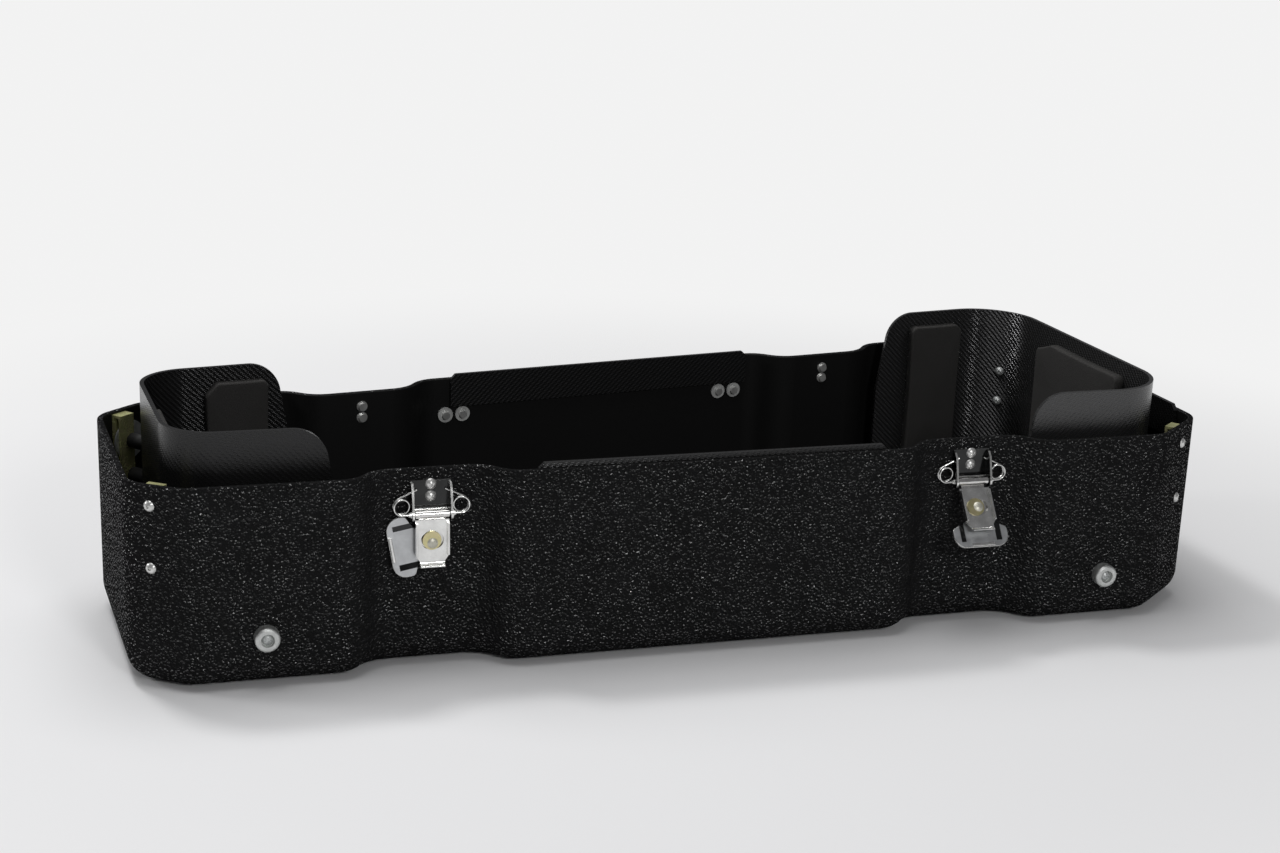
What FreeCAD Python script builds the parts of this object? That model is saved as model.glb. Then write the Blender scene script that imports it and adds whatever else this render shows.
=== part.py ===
import FreeCAD, Part
import math
import os

Vector = FreeCAD.Vector
Placement = FreeCAD.Placement
Rotation = FreeCAD.Rotation

# The lower half of a violin flight case, in millimetres. X runs along the case from the narrow scroll end
# to the wide body end, Y from the front wall to the rear wall, and Z up. The origin is the middle of the
# flat underside.

# Base shell
case_length = 800.0
middle_half_width = 127.0
side_taper_share = 0.065
rim_height = 144.0
rim_round = 0.9
wall = 4.0
bottom_round = 21.0
corner_round = 24.0
scroll_cut_length = 34.0
scroll_cut_width = 26.0
body_cut_length = 50.0
body_cut_width = 36.0
front_recess_shares = (-0.5, 0.5)
rear_recess_shares = (-0.4775, 0.51)
recess_flat = 50.0
recess_run = 38.0
recess_depth = 18.0

# Fits shared by all pieces
hole_clearance = 0.1
pin_clearance = 0.05
running_gap = 0.3
glue_gap = 0.1
overrun = 5.0
edge_tolerance = 0.1

# Locating tongues inside the rim
tongue_thickness = 3.0
tongue_height = 26.0
tongue_rise = 3.7
tongue_corner_cut = 4.0
side_tongue_share = 0.32
end_tongue_gap = 20.75

# Cradles
sheet = 3.0
cradle_bottom = 14.0
cradle_rise = 30.0
wing_corner_round = 24.0
wing_slant_share = 0.16
wing_slant_height = 64.0
scroll_side_inset = 24.5
scroll_end_inset = 28.0
scroll_corner_round = 36.0
scroll_wing_recess_gap = 6.0
body_side_inset = 20.5
body_end_inset = 30.0
body_corner_round = 47.0
body_wing_recess_lap = 8.0

# Foam pads
pad_thickness = 9.0
pad_crown = 1.6
pad_drawn_in = 0.8
scroll_pad_cut = 9.0
body_pad_cut = 5.0
end_pad_cut_width = 22.0
end_pad_cut_height = 8.0
pad_cut_limit_share = 0.3
pad_round_share = 0.385
pad_bottom_gap = 26.0
pad_top_gap = 11.0
scroll_pad_free_gap = 9.0
scroll_pad_corner_gap = 12.0
scroll_end_pad_gap = 4.3
body_pad_free_gap = 16.0
body_pad_corner_gap = 4.0
body_end_pad_gap = 20.4

# Corner brackets and their rivets
strip = 2.0
bracket_width = 13.0
bracket_end_shift = 5.0
bracket_depth = 8.4
bracket_top_drop = 2.0
bracket_length = 66.0
bracket_tongue_length = 56.0
bracket_rivet_drops = (12.3, 55.6)
rivet_shank_radius = 2.0
rivet_head_radius = 3.9
rivet_head_height = 2.2
rivet_mandrel_radius = 1.1
rivet_mandrel_depth = 1.4
rivet_tail_radius = 2.9
rivet_tail_height = 2.6

# Rubber bobbins and cradle screws
bobbin_radius = 5.5
mount_washer_radius = 14.5
mount_washer_thickness = 1.0
cradle_pull_share = 0.35
cradle_screw_drops = (20.0, 46.0)
cradle_screw_radius = 2.0
cradle_screw_head_radius = 3.8
cradle_screw_head_height = 2.8
cradle_socket_across = 2.6
cradle_socket_depth = 1.6
cradle_nut_across = 7.0
cradle_nut_height = 2.4

# Draw latches: base plate, ears and hinge pin
latch_plate_width = 28.0
latch_plate_height = 24.5
latch_top_drop = 8.0
latch_sheet = 1.5
ear_reach = 6.6
ear_top_drop = 1.5
ear_top_cut = 3.3
ear_nose_radius = 4.4
ridge_height = 1.2
ridge_round = 0.6
ridge_width = 2.4
ridge_above_edge = 2.0
pin_out = 7.0
pin_drop = 22.8
pin_radius = 1.6
pin_bore_radius = 0.95
pin_overhang = 2.2
pin_collar_radius = 2.5
pin_collar_thickness = 0.8
latch_rivet_drops = (3.0, 11.6)
tail_washer_radius = 4.1
tail_washer_thickness = 0.8

# Draw latches: link, hook plate, wing and cam
roll_radius = 2.85
roll_end_gap = 1.0
link_width = 18.0
link_past_pivot = 15.0
hook_width = 23.4
hook_top_gap = 7.6
hook_past_pivot = 20.5
hook_taper_length = 8.0
hook_end_width = 17.0
hook_flange_height = 2.75
hook_flange_drop = 2.0
hook_lip_reach = 4.5
hook_lip_bend = 2.2
hook_edge_round = 0.45
hook_draw = 4.0
arm_reach = 20.2
wing_reach = 29.0
wing_outer_width = 43.0
wing_neck_width = 14.0
wing_neck_share = 0.28
wing_shoulder_share = 0.5
wing_corner = 9.5
wing_neck_bend = 3.5
wing_sheet = 1.6
wing_edge_round = 0.5
wing_lip_length = 18.0
wing_lip_width = 2.2
wing_lip_height = 1.8
wing_panel_width = 24.0
wing_panel_slope = 4.0
wing_panel_depth = 0.8
wing_panel_margin = 4.5
wing_link_gap = 1.0
hub_radius = 4.0
cam_radius = 5.0
cam_cap_radius = 6.5
cam_cap_thickness = 0.8
cam_window_play = 0.9
cam_rivet_radius = 1.8
cam_rivet_head_radius = 3.7
cam_rivet_head_height = 1.1
cam_rivet_tail_height = 0.6

# Draw latches: wire springs
spring_wire_radius = 0.7
spring_coil_radius = 5.4
spring_coil_place = 20.5
spring_turns = 1.43
spring_leg_past_ear = 2.5
spring_leg_in_pin = 1.6
spring_upper_out = 2.6
spring_steps_each_turn = 4
spring_samples = 240

# Draw latches: rest angles in degrees, of the arm swung out from the wall and the wing turned to the left
front_left_arm_angle = 4.0
front_left_wing_angle = 80.0
front_right_arm_angle = 38.0
hanging_angle = 0.0
half_turn_angle = 180.0

# Feet on the front wall
foot_shares = (-0.784, 0.77)
foot_height = 37.5
foot_radius = 8.6
foot_length = 8.0
foot_bore_radius = 4.7
foot_base = 5.0
foot_edge_round = 2.0
foot_screw_radius = 2.5
foot_screw_head_radius = 4.2
foot_screw_head_height = 2.4
foot_slot_depth = 1.2
foot_slot_length = 4.0
foot_slot_width = 1.2
foot_nut_radius = 6.0
foot_nut_height = 3.0

# Handle on the rear wall
handle_rivet_edge_gap = 9.5
handle_rivet_spacing = 14.0
handle_tongue_gap = 0.9
handle_washer_radius = 6.0
handle_washer_thickness = 1.2
handle_foot_length = 42.0
handle_foot_height = 24.0
handle_foot_thickness = 3.0
handle_foot_round = 5.0
handle_boss_radius = 8.0
handle_boss_length = 10.0
handle_pivot_out = 14.0
handle_pivot_gap = 16.0
bail_radius = 4.0
bail_drop = 42.0
bail_bend = 12.0
bail_turn = 7.0
bail_end_gap = 1.5
grip_radius = 11.5
grip_end_gap = 30.0
grip_waist_radius = 10.0
grip_end_round = 2.0

# Sizes that follow from the ones above
half_length = case_length / 2
taper_stretch = math.hypot(1, side_taper_share)
front_recess_places = tuple(share * half_length for share in front_recess_shares)
rear_recess_places = tuple(share * half_length for share in rear_recess_shares)
recess_places = {"front": front_recess_places, "rear": rear_recess_places}
recess_reach = recess_flat / 2 + recess_run
recess_turn = 2 * math.atan2(recess_depth, recess_run)
recess_round = recess_run / (2 * math.sin(recess_turn))
foot_places = tuple(share * half_length for share in foot_shares)
side_tongue_length = side_tongue_share * case_length
tongue_top = rim_height + tongue_rise
tongue_bottom = tongue_top - tongue_height
cradle_top = rim_height + cradle_rise
wing_slant_bottom = cradle_top - wing_slant_height
scroll_wing_end = recess_reach - front_recess_places[0] + scroll_wing_recess_gap
body_wing_end = recess_reach + front_recess_places[1] - body_wing_recess_lap
pad_bottom = cradle_bottom + pad_bottom_gap
pad_top = cradle_top - pad_top_gap
bracket_top = rim_height - bracket_top_drop
bracket_rivet_heights = tuple(bracket_top - drop for drop in bracket_rivet_drops)
cradle_screw_heights = tuple(bracket_top - drop for drop in cradle_screw_drops)
latch_plate_top = rim_height - latch_top_drop
latch_plate_bottom = latch_plate_top - latch_plate_height
latch_rivet_heights = tuple(latch_plate_top - drop for drop in latch_rivet_drops)
pin_height = latch_plate_top - pin_drop
wing_height = pin_height - arm_reach
link_bottom = wing_height - link_past_pivot
hook_top = pin_height - hook_top_gap
hook_bottom = wing_height - hook_past_pivot
hook_taper_start = hook_bottom + hook_taper_length
link_back_out = pin_out - roll_radius
link_front_out = link_back_out + latch_sheet
hook_web_out = link_front_out + running_gap
wing_front_out = link_back_out - wing_link_gap
wing_back_out = wing_front_out - wing_sheet
handle_middle = (rear_recess_places[0] + rear_recess_places[1]) / 2
rear_panel_half = (rear_recess_places[1] - rear_recess_places[0]) / 2 - recess_reach
handle_outer_rivet = rear_panel_half - handle_rivet_edge_gap
handle_inner_rivet = handle_outer_rivet - handle_rivet_spacing
handle_rivet_places = (handle_inner_rivet, handle_outer_rivet)
handle_height = tongue_bottom - handle_tongue_gap - handle_washer_radius
handle_pivot_place = handle_inner_rivet - handle_pivot_gap
grip_length = 2 * (handle_pivot_place - grip_end_gap)

# Each latch: its wall, its place along that wall seen from outside, its arm's angle and its wing's angle
latch_rest = {
    "front_left": ("front", front_recess_places[0], front_left_arm_angle, front_left_wing_angle),
    "front_right": ("front", front_recess_places[1], front_right_arm_angle, hanging_angle),
    "rear_left": ("rear", rear_recess_places[1], hanging_angle, hanging_angle),
    "rear_right": ("rear", rear_recess_places[0], hanging_angle, hanging_angle),
}


def half_width(x):
    """Half the outer width of the case at a place along it."""
    return middle_half_width + side_taper_share * x


# Plan corners of the shell, counter-clockwise from above, each a sharp corner before rounding
scroll_side_x = -(half_length - scroll_cut_length)
body_side_x = half_length - body_cut_length
scroll_end_y = half_width(scroll_side_x) - scroll_cut_width
body_end_y = half_width(body_side_x) - body_cut_width
plan_corners = [
    Vector(scroll_side_x, -half_width(scroll_side_x), 0),
    Vector(body_side_x, -half_width(body_side_x), 0),
    Vector(half_length, -body_end_y, 0),
    Vector(half_length, body_end_y, 0),
    Vector(body_side_x, half_width(body_side_x), 0),
    Vector(scroll_side_x, half_width(scroll_side_x), 0),
    Vector(-half_length, scroll_end_y, 0),
    Vector(-half_length, -scroll_end_y, 0),
]
edge_names = [
    "front", "front_right", "right_end", "rear_right",
    "rear", "rear_left", "left_end", "front_left",
]
along_x = Vector(1, 0, 0)
along_y = Vector(0, 1, 0)


def edge_direction(index):
    start = plan_corners[index]
    end = plan_corners[(index + 1) % len(plan_corners)]
    return (end - start).normalize()


def wall_frame(name, along=0.0, inward=0.0, height=0.0):
    """Frame on a wall's outer line: X to the right seen from outside, Y into the case, Z up.

    On the side walls "along" starts at the middle of the case, and elsewhere at the wall's first corner.
    """
    index = edge_names.index(name)
    direction = edge_direction(index)
    turn = math.degrees(math.atan2(direction.y, direction.x))
    rotation = Rotation(Vector(0, 0, 1), turn)
    origin = plan_corners[index]
    if name == "front":
        origin = Vector(0, -middle_half_width, 0)
    if name == "rear":
        origin = Vector(0, middle_half_width, 0)
    return Placement(origin + rotation.multVec(Vector(along, inward, height)), rotation)


def corner_tangent(index, radius):
    """Length that a rounding of this radius takes from the walls beside a plan corner."""
    before = edge_direction(index - 1)
    after = edge_direction(index)
    turn = math.acos(max(-1.0, min(1.0, before.dot(after))))
    return radius * math.tan(turn / 2)


def placed(shape, frame):
    moved = shape.copy()
    moved.Placement = frame.multiply(shape.Placement)
    return moved


def box(x, y, z):
    """Box between two values on each axis."""
    corner = Vector(min(x), min(y), min(z))
    return Part.makeBox(max(x) - min(x), max(y) - min(y), max(z) - min(z), corner)


def eased(block, radius):
    """Block with the edges of its outer face, the one at the lowest Y, rounded."""
    front = block.BoundBox.YMin
    return block.makeFillet(radius, [e for e in block.Edges if e.BoundBox.YMax - front < edge_tolerance])


def rod(radius, start, end):
    axis = end - start
    return Part.makeCylinder(radius, axis.Length, start, axis)


def rod_both_ways(radius, point, axis, reach):
    """Rod that reaches as far to each side of the point."""
    return rod(radius, point - axis * reach, point + axis * reach)


def hexagon(across, start, end):
    """Six-sided bar, given its width across flats."""
    axis = end - start
    side = across / math.sqrt(3)
    points = []
    for k in range(7):
        angle = math.pi * k / 3
        points.append(Vector(side * math.cos(angle), side * math.sin(angle), 0))
    bar = Part.Face(Part.makePolygon(points)).extrude(Vector(0, 0, axis.Length))
    bar.Placement = Placement(start, Rotation(Vector(0, 0, 1), axis))
    return bar


def dome_head(radius, height, start, direction):
    """Round head: a ball cut flat, with its flat side at the start."""
    ball_radius = (radius ** 2 + height ** 2) / (2 * height)
    unit = Vector(direction).normalize()
    ball = Part.makeSphere(ball_radius, start + unit * (height - ball_radius))
    return ball.common(rod(radius, start, start + unit * height))


def rounded_chain(corners, radii):
    """Straight edges through the corners with a tangent arc at each inner corner."""
    edges = []
    last = corners[0]
    for i in range(1, len(corners) - 1):
        before = (corners[i] - corners[i - 1]).normalize()
        after = (corners[i + 1] - corners[i]).normalize()
        turn = math.acos(max(-1.0, min(1.0, before.dot(after))))
        reach = radii[i - 1] * math.tan(turn / 2)
        start = corners[i] - before * reach
        end = corners[i] + after * reach
        bisector = (after - before).normalize()
        middle = corners[i] + bisector * (radii[i - 1] / math.cos(turn / 2) - radii[i - 1])
        edges.append(Part.LineSegment(last, start).toShape())
        edges.append(Part.Arc(start, middle, end).toShape())
        last = end
    edges.append(Part.LineSegment(last, corners[-1]).toShape())
    return edges


def inset_corners(inset):
    """The shell's plan corners with every wall moved inwards."""
    lines = []
    for i in range(len(plan_corners)):
        direction = edge_direction(i)
        normal = Vector(-direction.y, direction.x, 0)
        lines.append((plan_corners[i] + normal * inset, direction))
    moved = []
    for i in range(len(lines)):
        (p, d), (q, e) = lines[i - 1], lines[i]
        cross = d.x * e.y - d.y * e.x
        step = ((q.x - p.x) * e.y - (q.y - p.y) * e.x) / cross
        moved.append(p + d * step)
    return moved


def recess_chain(side, centre, inset):
    """One latch recess of a side wall: two S bends with a flat between them, from left to right."""
    def point(along, inward):
        return wall_frame(side, along, inward).Base

    def bend(sign, start, phis, outer):
        points = []
        for phi in phis:
            if outer:
                along = start + sign * (recess_round - inset) * math.sin(phi)
                inward = recess_round - (recess_round - inset) * math.cos(phi)
            else:
                along = start + sign * (recess_run - (recess_round + inset) * math.sin(phi))
                inward = recess_depth - recess_round + (recess_round + inset) * math.cos(phi)
            points.append(point(along, inward))
        return Part.Arc(*points).toShape()

    rising = (0, recess_turn / 2, recess_turn)
    falling = (recess_turn, recess_turn / 2, 0)
    left = centre - recess_reach
    right = centre + recess_reach
    flat_left = point(left + recess_run, recess_depth + inset)
    flat_right = point(right - recess_run, recess_depth + inset)
    return [
        bend(1, left, rising, True),
        bend(1, left, falling, False),
        Part.LineSegment(flat_left, flat_right).toShape(),
        bend(-1, right, rising, False),
        bend(-1, right, falling, True),
    ]


def plan_face(inset):
    """The shell's plan, moved inwards, as a face on the ground."""
    corners = inset_corners(inset)
    radius = corner_round - inset
    edges = []
    count = len(corners)
    for i in range(count):
        here, after = corners[i], corners[(i + 1) % count]
        direction = (after - here).normalize()
        start = here + direction * corner_tangent(i, radius)
        end = after - direction * corner_tangent((i + 1) % count, radius)
        for centre in recess_places.get(edge_names[i], ()):
            recess_start = wall_frame(edge_names[i], centre - recess_reach, inset).Base
            edges.append(Part.LineSegment(start, recess_start).toShape())
            edges += recess_chain(edge_names[i], centre, inset)
            start = wall_frame(edge_names[i], centre + recess_reach, inset).Base
        edges.append(Part.LineSegment(start, end).toShape())
        before = (corners[(i + 2) % count] - after).normalize()
        turn = math.acos(direction.dot(before))
        next_start = after + before * corner_tangent((i + 1) % count, radius)
        middle = after + (before - direction).normalize() * (radius / math.cos(turn / 2) - radius)
        edges.append(Part.Arc(end, middle, next_start).toShape())
    return Part.Face(Part.Wire(edges))


def floor_edges(solid):
    low = solid.BoundBox.ZMin
    return [edge for edge in solid.Edges if edge.BoundBox.ZMax - low < edge_tolerance]


def rounded_tray(inset, bottom, top):
    """Prism of the plan with its lower edge rounded."""
    block = plan_face(inset)
    block.translate(Vector(0, 0, bottom))
    block = block.extrude(Vector(0, 0, top - bottom))
    return block.makeFillet(bottom_round - inset, floor_edges(block))


def bracket_place(name):
    """Place of a bracket along its cut corner: off the middle of the flat stretch, towards the end wall."""
    index = edge_names.index(name)
    length = (plan_corners[(index + 1) % len(plan_corners)] - plan_corners[index]).Length
    start = corner_tangent(index, corner_round)
    end = length - corner_tangent((index + 1) % len(plan_corners), corner_round)
    towards_end = 1 if name in ("front_right", "rear_left") else -1
    return (start + end) / 2 + towards_end * bracket_end_shift


cradle_sizes = {
    "scroll": (-1, scroll_side_inset, scroll_end_inset, scroll_corner_round, scroll_wing_end),
    "body": (1, body_side_inset, body_end_inset, body_corner_round, body_wing_end),
}
corner_cradles = {
    "front_left": "scroll",
    "rear_left": "scroll",
    "front_right": "body",
    "rear_right": "body",
}


def cradle_corners(which, shrink):
    """Open plan of a cradle's outer face, moved inwards: wing end, two corners, wing end."""
    sign, side_inset, end_inset, corner, wing_end = cradle_sizes[which]
    end_x = sign * (half_length - end_inset - shrink)
    free_x = sign * (wing_end - wing_slant_share * (cradle_top - wing_slant_bottom))
    inset = (side_inset + shrink) * taper_stretch
    front = [Vector(free_x, inset - half_width(free_x), 0), Vector(end_x, inset - half_width(end_x), 0)]
    rear = [Vector(p.x, -p.y, 0) for p in reversed(front)]
    return front + rear


def cradle_arc_centre(which, front):
    """Plan centre of a cradle's rounded corner."""
    sign, side_inset, end_inset, corner, wing_end = cradle_sizes[which]
    x = sign * (half_length - end_inset - corner)
    y = half_width(x) - (side_inset + corner) * taper_stretch
    return Vector(x, -y if front else y, 0)


def cradle_block(which):
    """Solid block inside a cradle's outer face, as tall as the cradle."""
    corner = cradle_sizes[which][3]
    corners = cradle_corners(which, 0)
    edges = rounded_chain(corners, (corner, corner))
    edges.append(Part.LineSegment(corners[-1], corners[0]).toShape())
    face = Part.Face(Part.Wire(edges))
    face.translate(Vector(0, 0, cradle_bottom))
    return face.extrude(Vector(0, 0, cradle_top - cradle_bottom))


def cradle(which):
    """Bent sheet with two wings, whose free edges slant and end in a rounded top corner."""
    sign, side_inset, end_inset, corner, wing_end = cradle_sizes[which]
    outer = cradle_corners(which, 0)
    inner = cradle_corners(which, sheet)
    edges = rounded_chain(outer, (corner, corner))
    edges.append(Part.LineSegment(outer[-1], inner[-1]).toShape())
    edges += rounded_chain(list(reversed(inner)), (corner - sheet, corner - sheet))
    edges.append(Part.LineSegment(inner[0], outer[0]).toShape())
    wrap = Part.Face(Part.Wire(edges))
    wrap.translate(Vector(0, 0, cradle_bottom))
    wrap = wrap.extrude(Vector(0, 0, cradle_top - cradle_bottom))
    low_x = sign * (wing_end - wing_slant_share * (cradle_top - wing_slant_bottom))
    side = -half_width(half_length)
    outline = [
        Vector(low_x, side, cradle_bottom),
        Vector(low_x, side, wing_slant_bottom),
        Vector(sign * wing_end, side, cradle_top),
        Vector(sign * half_length, side, cradle_top),
    ]
    edges = rounded_chain(outline, (wing_corner_round, wing_corner_round))
    end_low = Vector(sign * half_length, side, cradle_bottom)
    edges.append(Part.LineSegment(outline[-1], end_low).toShape())
    edges.append(Part.LineSegment(end_low, outline[0]).toShape())
    profile = Part.Face(Part.Wire(edges)).extrude(Vector(0, -2 * side, 0))
    return wrap.common(profile)


def pad(width, cut_side, cut_width, cut_height):
    """Foam pad on the plane Y = 0: sides drawn in, face crowned, and one top corner cut off."""
    half = width / 2
    cut = min(cut_width, pad_cut_limit_share * width)
    corners = [Vector(-half, 0, pad_bottom), Vector(half, 0, pad_bottom)]
    if cut_side > 0:
        corners += [Vector(half, 0, pad_top - cut_height), Vector(half - cut, 0, pad_top)]
        corners += [Vector(-half, 0, pad_top)]
    else:
        corners += [Vector(half, 0, pad_top)]
        corners += [Vector(-half + cut, 0, pad_top), Vector(-half, 0, pad_top - cut_height)]
    centre = Vector(0, 0, (pad_bottom + pad_top) / 2)
    edges = []
    for i in range(len(corners)):
        start, end = corners[i], corners[(i + 1) % len(corners)]
        middle = (start + end) * (1 / 2)
        normal = Vector(0, 1, 0).cross(end - start).normalize()
        if normal.dot(centre - middle) < 0:
            normal = -normal
        dip = pad_drawn_in * (end - start).Length / (pad_top - pad_bottom)
        edges.append(Part.Arc(start, middle + normal * dip, end).toShape())
    slab = Part.Face(Part.Wire(edges)).extrude(Vector(0, pad_thickness, 0))
    upright = [e for e in slab.Edges if e.BoundBox.YLength > pad_thickness / 2]
    slab = slab.makeFillet(pad_round_share * min(cut, cut_height), upright)
    reach = math.hypot(half, (pad_top - pad_bottom) / 2)
    ball_radius = (reach ** 2 + pad_crown ** 2) / (2 * pad_crown)
    ball = Part.makeSphere(ball_radius, centre + Vector(0, pad_thickness - ball_radius, 0))
    return slab.common(ball)


def bracket(screw_x):
    """Strip bent over the cut corner: a back leaf on the wall, a top, and a tongue towards the cradle.

    Its frame has Y = 0 on the wall's inner face and X = 0 on its own middle.
    """
    half = bracket_width / 2
    back = box((-half, half), (0, strip), (bracket_top - bracket_length, bracket_top))
    top = box((-half, half), (0, bracket_depth), (bracket_top - strip, bracket_top))
    low = bracket_top - bracket_tongue_length + half
    tongue = box((-half, half), (bracket_depth - strip, bracket_depth), (low, bracket_top))
    nose = rod(half, Vector(0, bracket_depth - strip, low), Vector(0, bracket_depth, low))
    body = back.fuse([top, tongue, nose]).removeSplitter()
    for height in bracket_rivet_heights:
        point = Vector(0, 0, height)
        body = body.cut(rod_both_ways(rivet_shank_radius + hole_clearance, point, along_y, 2 * strip))
    for height in cradle_screw_heights:
        point = Vector(screw_x, bracket_depth, height)
        body = body.cut(rod_both_ways(cradle_screw_radius + hole_clearance, point, along_y, 2 * strip))
    return body


def blind_rivet(grip, tail_washer=False):
    """Blind rivet along Y: head outside at Y below zero, shank through the grip, tail behind it."""
    head = dome_head(rivet_head_radius, rivet_head_height, Vector(0, 0, 0), -along_y)
    shank = rod(rivet_shank_radius, Vector(0, 0, 0), Vector(0, grip, 0))
    back = grip
    pieces = [shank]
    if tail_washer:
        back = grip + tail_washer_thickness
        pieces.append(rod(tail_washer_radius, Vector(0, grip, 0), Vector(0, back, 0)))
    pieces.append(rod(rivet_tail_radius, Vector(0, back, 0), Vector(0, back + rivet_tail_height, 0)))
    body = head.fuse(pieces).removeSplitter()
    top = Vector(0, -rivet_head_height, 0)
    return body.cut(rod_both_ways(rivet_mandrel_radius, top, along_y, rivet_mandrel_depth))


def latch_frame(name):
    """Frame of a latch: Y = 0 on the outer face of its recess, with the outside at Y below zero."""
    side, along, arm_angle, wing_angle = latch_rest[name]
    return wall_frame(side, along, recess_depth)


def latch_base():
    half = latch_plate_width / 2
    plate = box((-half, half), (-latch_sheet, 0), (latch_plate_bottom, latch_plate_top))
    ridge_low = latch_plate_bottom + ridge_above_edge
    inner = half - latch_sheet
    ridge_y = (-latch_sheet - ridge_height, -latch_sheet)
    ridge = box((-inner, inner), ridge_y, (ridge_low, ridge_low + ridge_width))
    outer_edges = [e for e in ridge.Edges if e.BoundBox.YMax < -latch_sheet - ridge_height / 2]
    long_edges = [e for e in outer_edges if e.BoundBox.XLength > inner]
    ridge = ridge.makeFillet(ridge_round, long_edges)
    ear_top = latch_plate_top - ear_top_drop
    outline = [
        Vector(-half, 0, latch_plate_bottom),
        Vector(-half, 0, ear_top),
        Vector(-half, -ear_reach + ear_top_cut, ear_top),
        Vector(-half, -ear_reach, ear_top - ear_top_cut),
        Vector(-half, -pin_out - ear_nose_radius, pin_height),
        Vector(-half, -pin_out, pin_height - ear_nose_radius),
        Vector(-half, 0, latch_plate_bottom),
    ]
    ear = Part.Face(Part.makePolygon(outline)).extrude(Vector(latch_sheet, 0, 0))
    axis = Vector(-half, -pin_out, pin_height)
    ear = ear.fuse(rod(ear_nose_radius, axis, axis + along_x * latch_sheet))
    other = ear.mirror(Vector(0, 0, 0), Vector(1, 0, 0))
    body = plate.fuse([ridge, ear, other]).removeSplitter()
    body = body.cut(rod_both_ways(pin_radius + pin_clearance, axis, along_x, 2 * latch_plate_width))
    for sign in (-1, 1):
        point, direction = wire_exit(sign)
        body = body.cut(rod_both_ways(spring_wire_radius + hole_clearance, point, direction, overrun))
    for height in latch_rivet_heights:
        point = Vector(0, 0, height)
        body = body.cut(rod_both_ways(rivet_shank_radius + hole_clearance, point, along_y, overrun))
    return body


def latch_pin():
    reach = latch_plate_width / 2 + pin_overhang
    middle = Vector(0, -pin_out, pin_height)
    pin = rod_both_ways(pin_radius, middle, along_x, reach)
    seat = latch_plate_width / 2 + hole_clearance
    for sign in (-1, 1):
        start = middle + along_x * sign * seat
        pin = pin.fuse(rod(pin_collar_radius, start, start + along_x * sign * pin_collar_thickness))
    return pin.cut(rod_both_ways(pin_bore_radius, middle, along_x, 2 * reach)).removeSplitter()


def latch_link():
    reach = latch_plate_width / 2 - latch_sheet - roll_end_gap
    axis = Vector(0, -pin_out, pin_height)
    roll = rod_both_ways(roll_radius, axis, along_x, reach)
    half = link_width / 2
    low = link_bottom + half
    leaf = box((-half, half), (-link_front_out, -link_back_out), (low, pin_height))
    nose = rod(half, Vector(0, -link_front_out, low), Vector(0, -link_back_out, low))
    body = roll.fuse([leaf, nose]).removeSplitter()
    body = body.cut(rod_both_ways(pin_radius + pin_clearance, axis, along_x, 2 * reach))
    pivot = Vector(0, -pin_out, wing_height)
    return body.cut(rod_both_ways(hub_radius + pin_clearance, pivot, along_y, pin_out))


def latch_hook(drawn):
    """Hook plate: a channel with a tapered end and a curled lip, drawn towards the hinge by some length."""
    half = hook_width / 2
    end_half = hook_end_width / 2
    back, front = hook_web_out, hook_web_out + latch_sheet
    bend = hook_lip_bend + latch_sheet
    bend_z = hook_bottom + bend
    outline = [
        Vector(-half, -back, hook_top),
        Vector(half, -back, hook_top),
        Vector(half, -back, hook_taper_start),
        Vector(end_half, -back, bend_z),
        Vector(-end_half, -back, bend_z),
        Vector(-half, -back, hook_taper_start),
        Vector(-half, -back, hook_top),
    ]
    web = Part.Face(Part.makePolygon(outline)).extrude(Vector(0, -latch_sheet, 0))
    curl_start = Vector(-end_half, -back - bend, bend_z)
    curl_end = Vector(end_half, -back - bend, bend_z)
    curl = rod(bend, curl_start, curl_end).cut(rod(hook_lip_bend, curl_start, curl_end))
    curl = curl.common(box((-end_half, end_half), (-back - bend, -back), (hook_bottom, bend_z)))
    lip_y = (-back - hook_lip_reach, -back - bend)
    lip = eased(box((-end_half, end_half), lip_y, (hook_bottom, hook_bottom + latch_sheet)), hook_edge_round)
    flange_z = (hook_taper_start, hook_top - hook_flange_drop)
    flanges = []
    for sign in (-1, 1):
        flange_x = (sign * (half - latch_sheet), sign * half)
        flange = box(flange_x, (-front - hook_flange_height, -front), flange_z)
        flanges.append(eased(flange, hook_edge_round))
    body = web.fuse([curl, lip] + flanges).removeSplitter()
    throw = hook_draw / 2
    middle = wing_height - throw
    tall = cam_radius + cam_window_play
    window = box((-throw, throw), (-2 * pin_out, 0), (middle - tall, middle + tall))
    for sign in (-1, 1):
        window = window.fuse(rod_both_ways(tall, Vector(sign * throw, -pin_out, middle), along_y, pin_out))
    body = body.cut(window)
    body.translate(Vector(0, 0, drawn))
    return body


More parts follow.
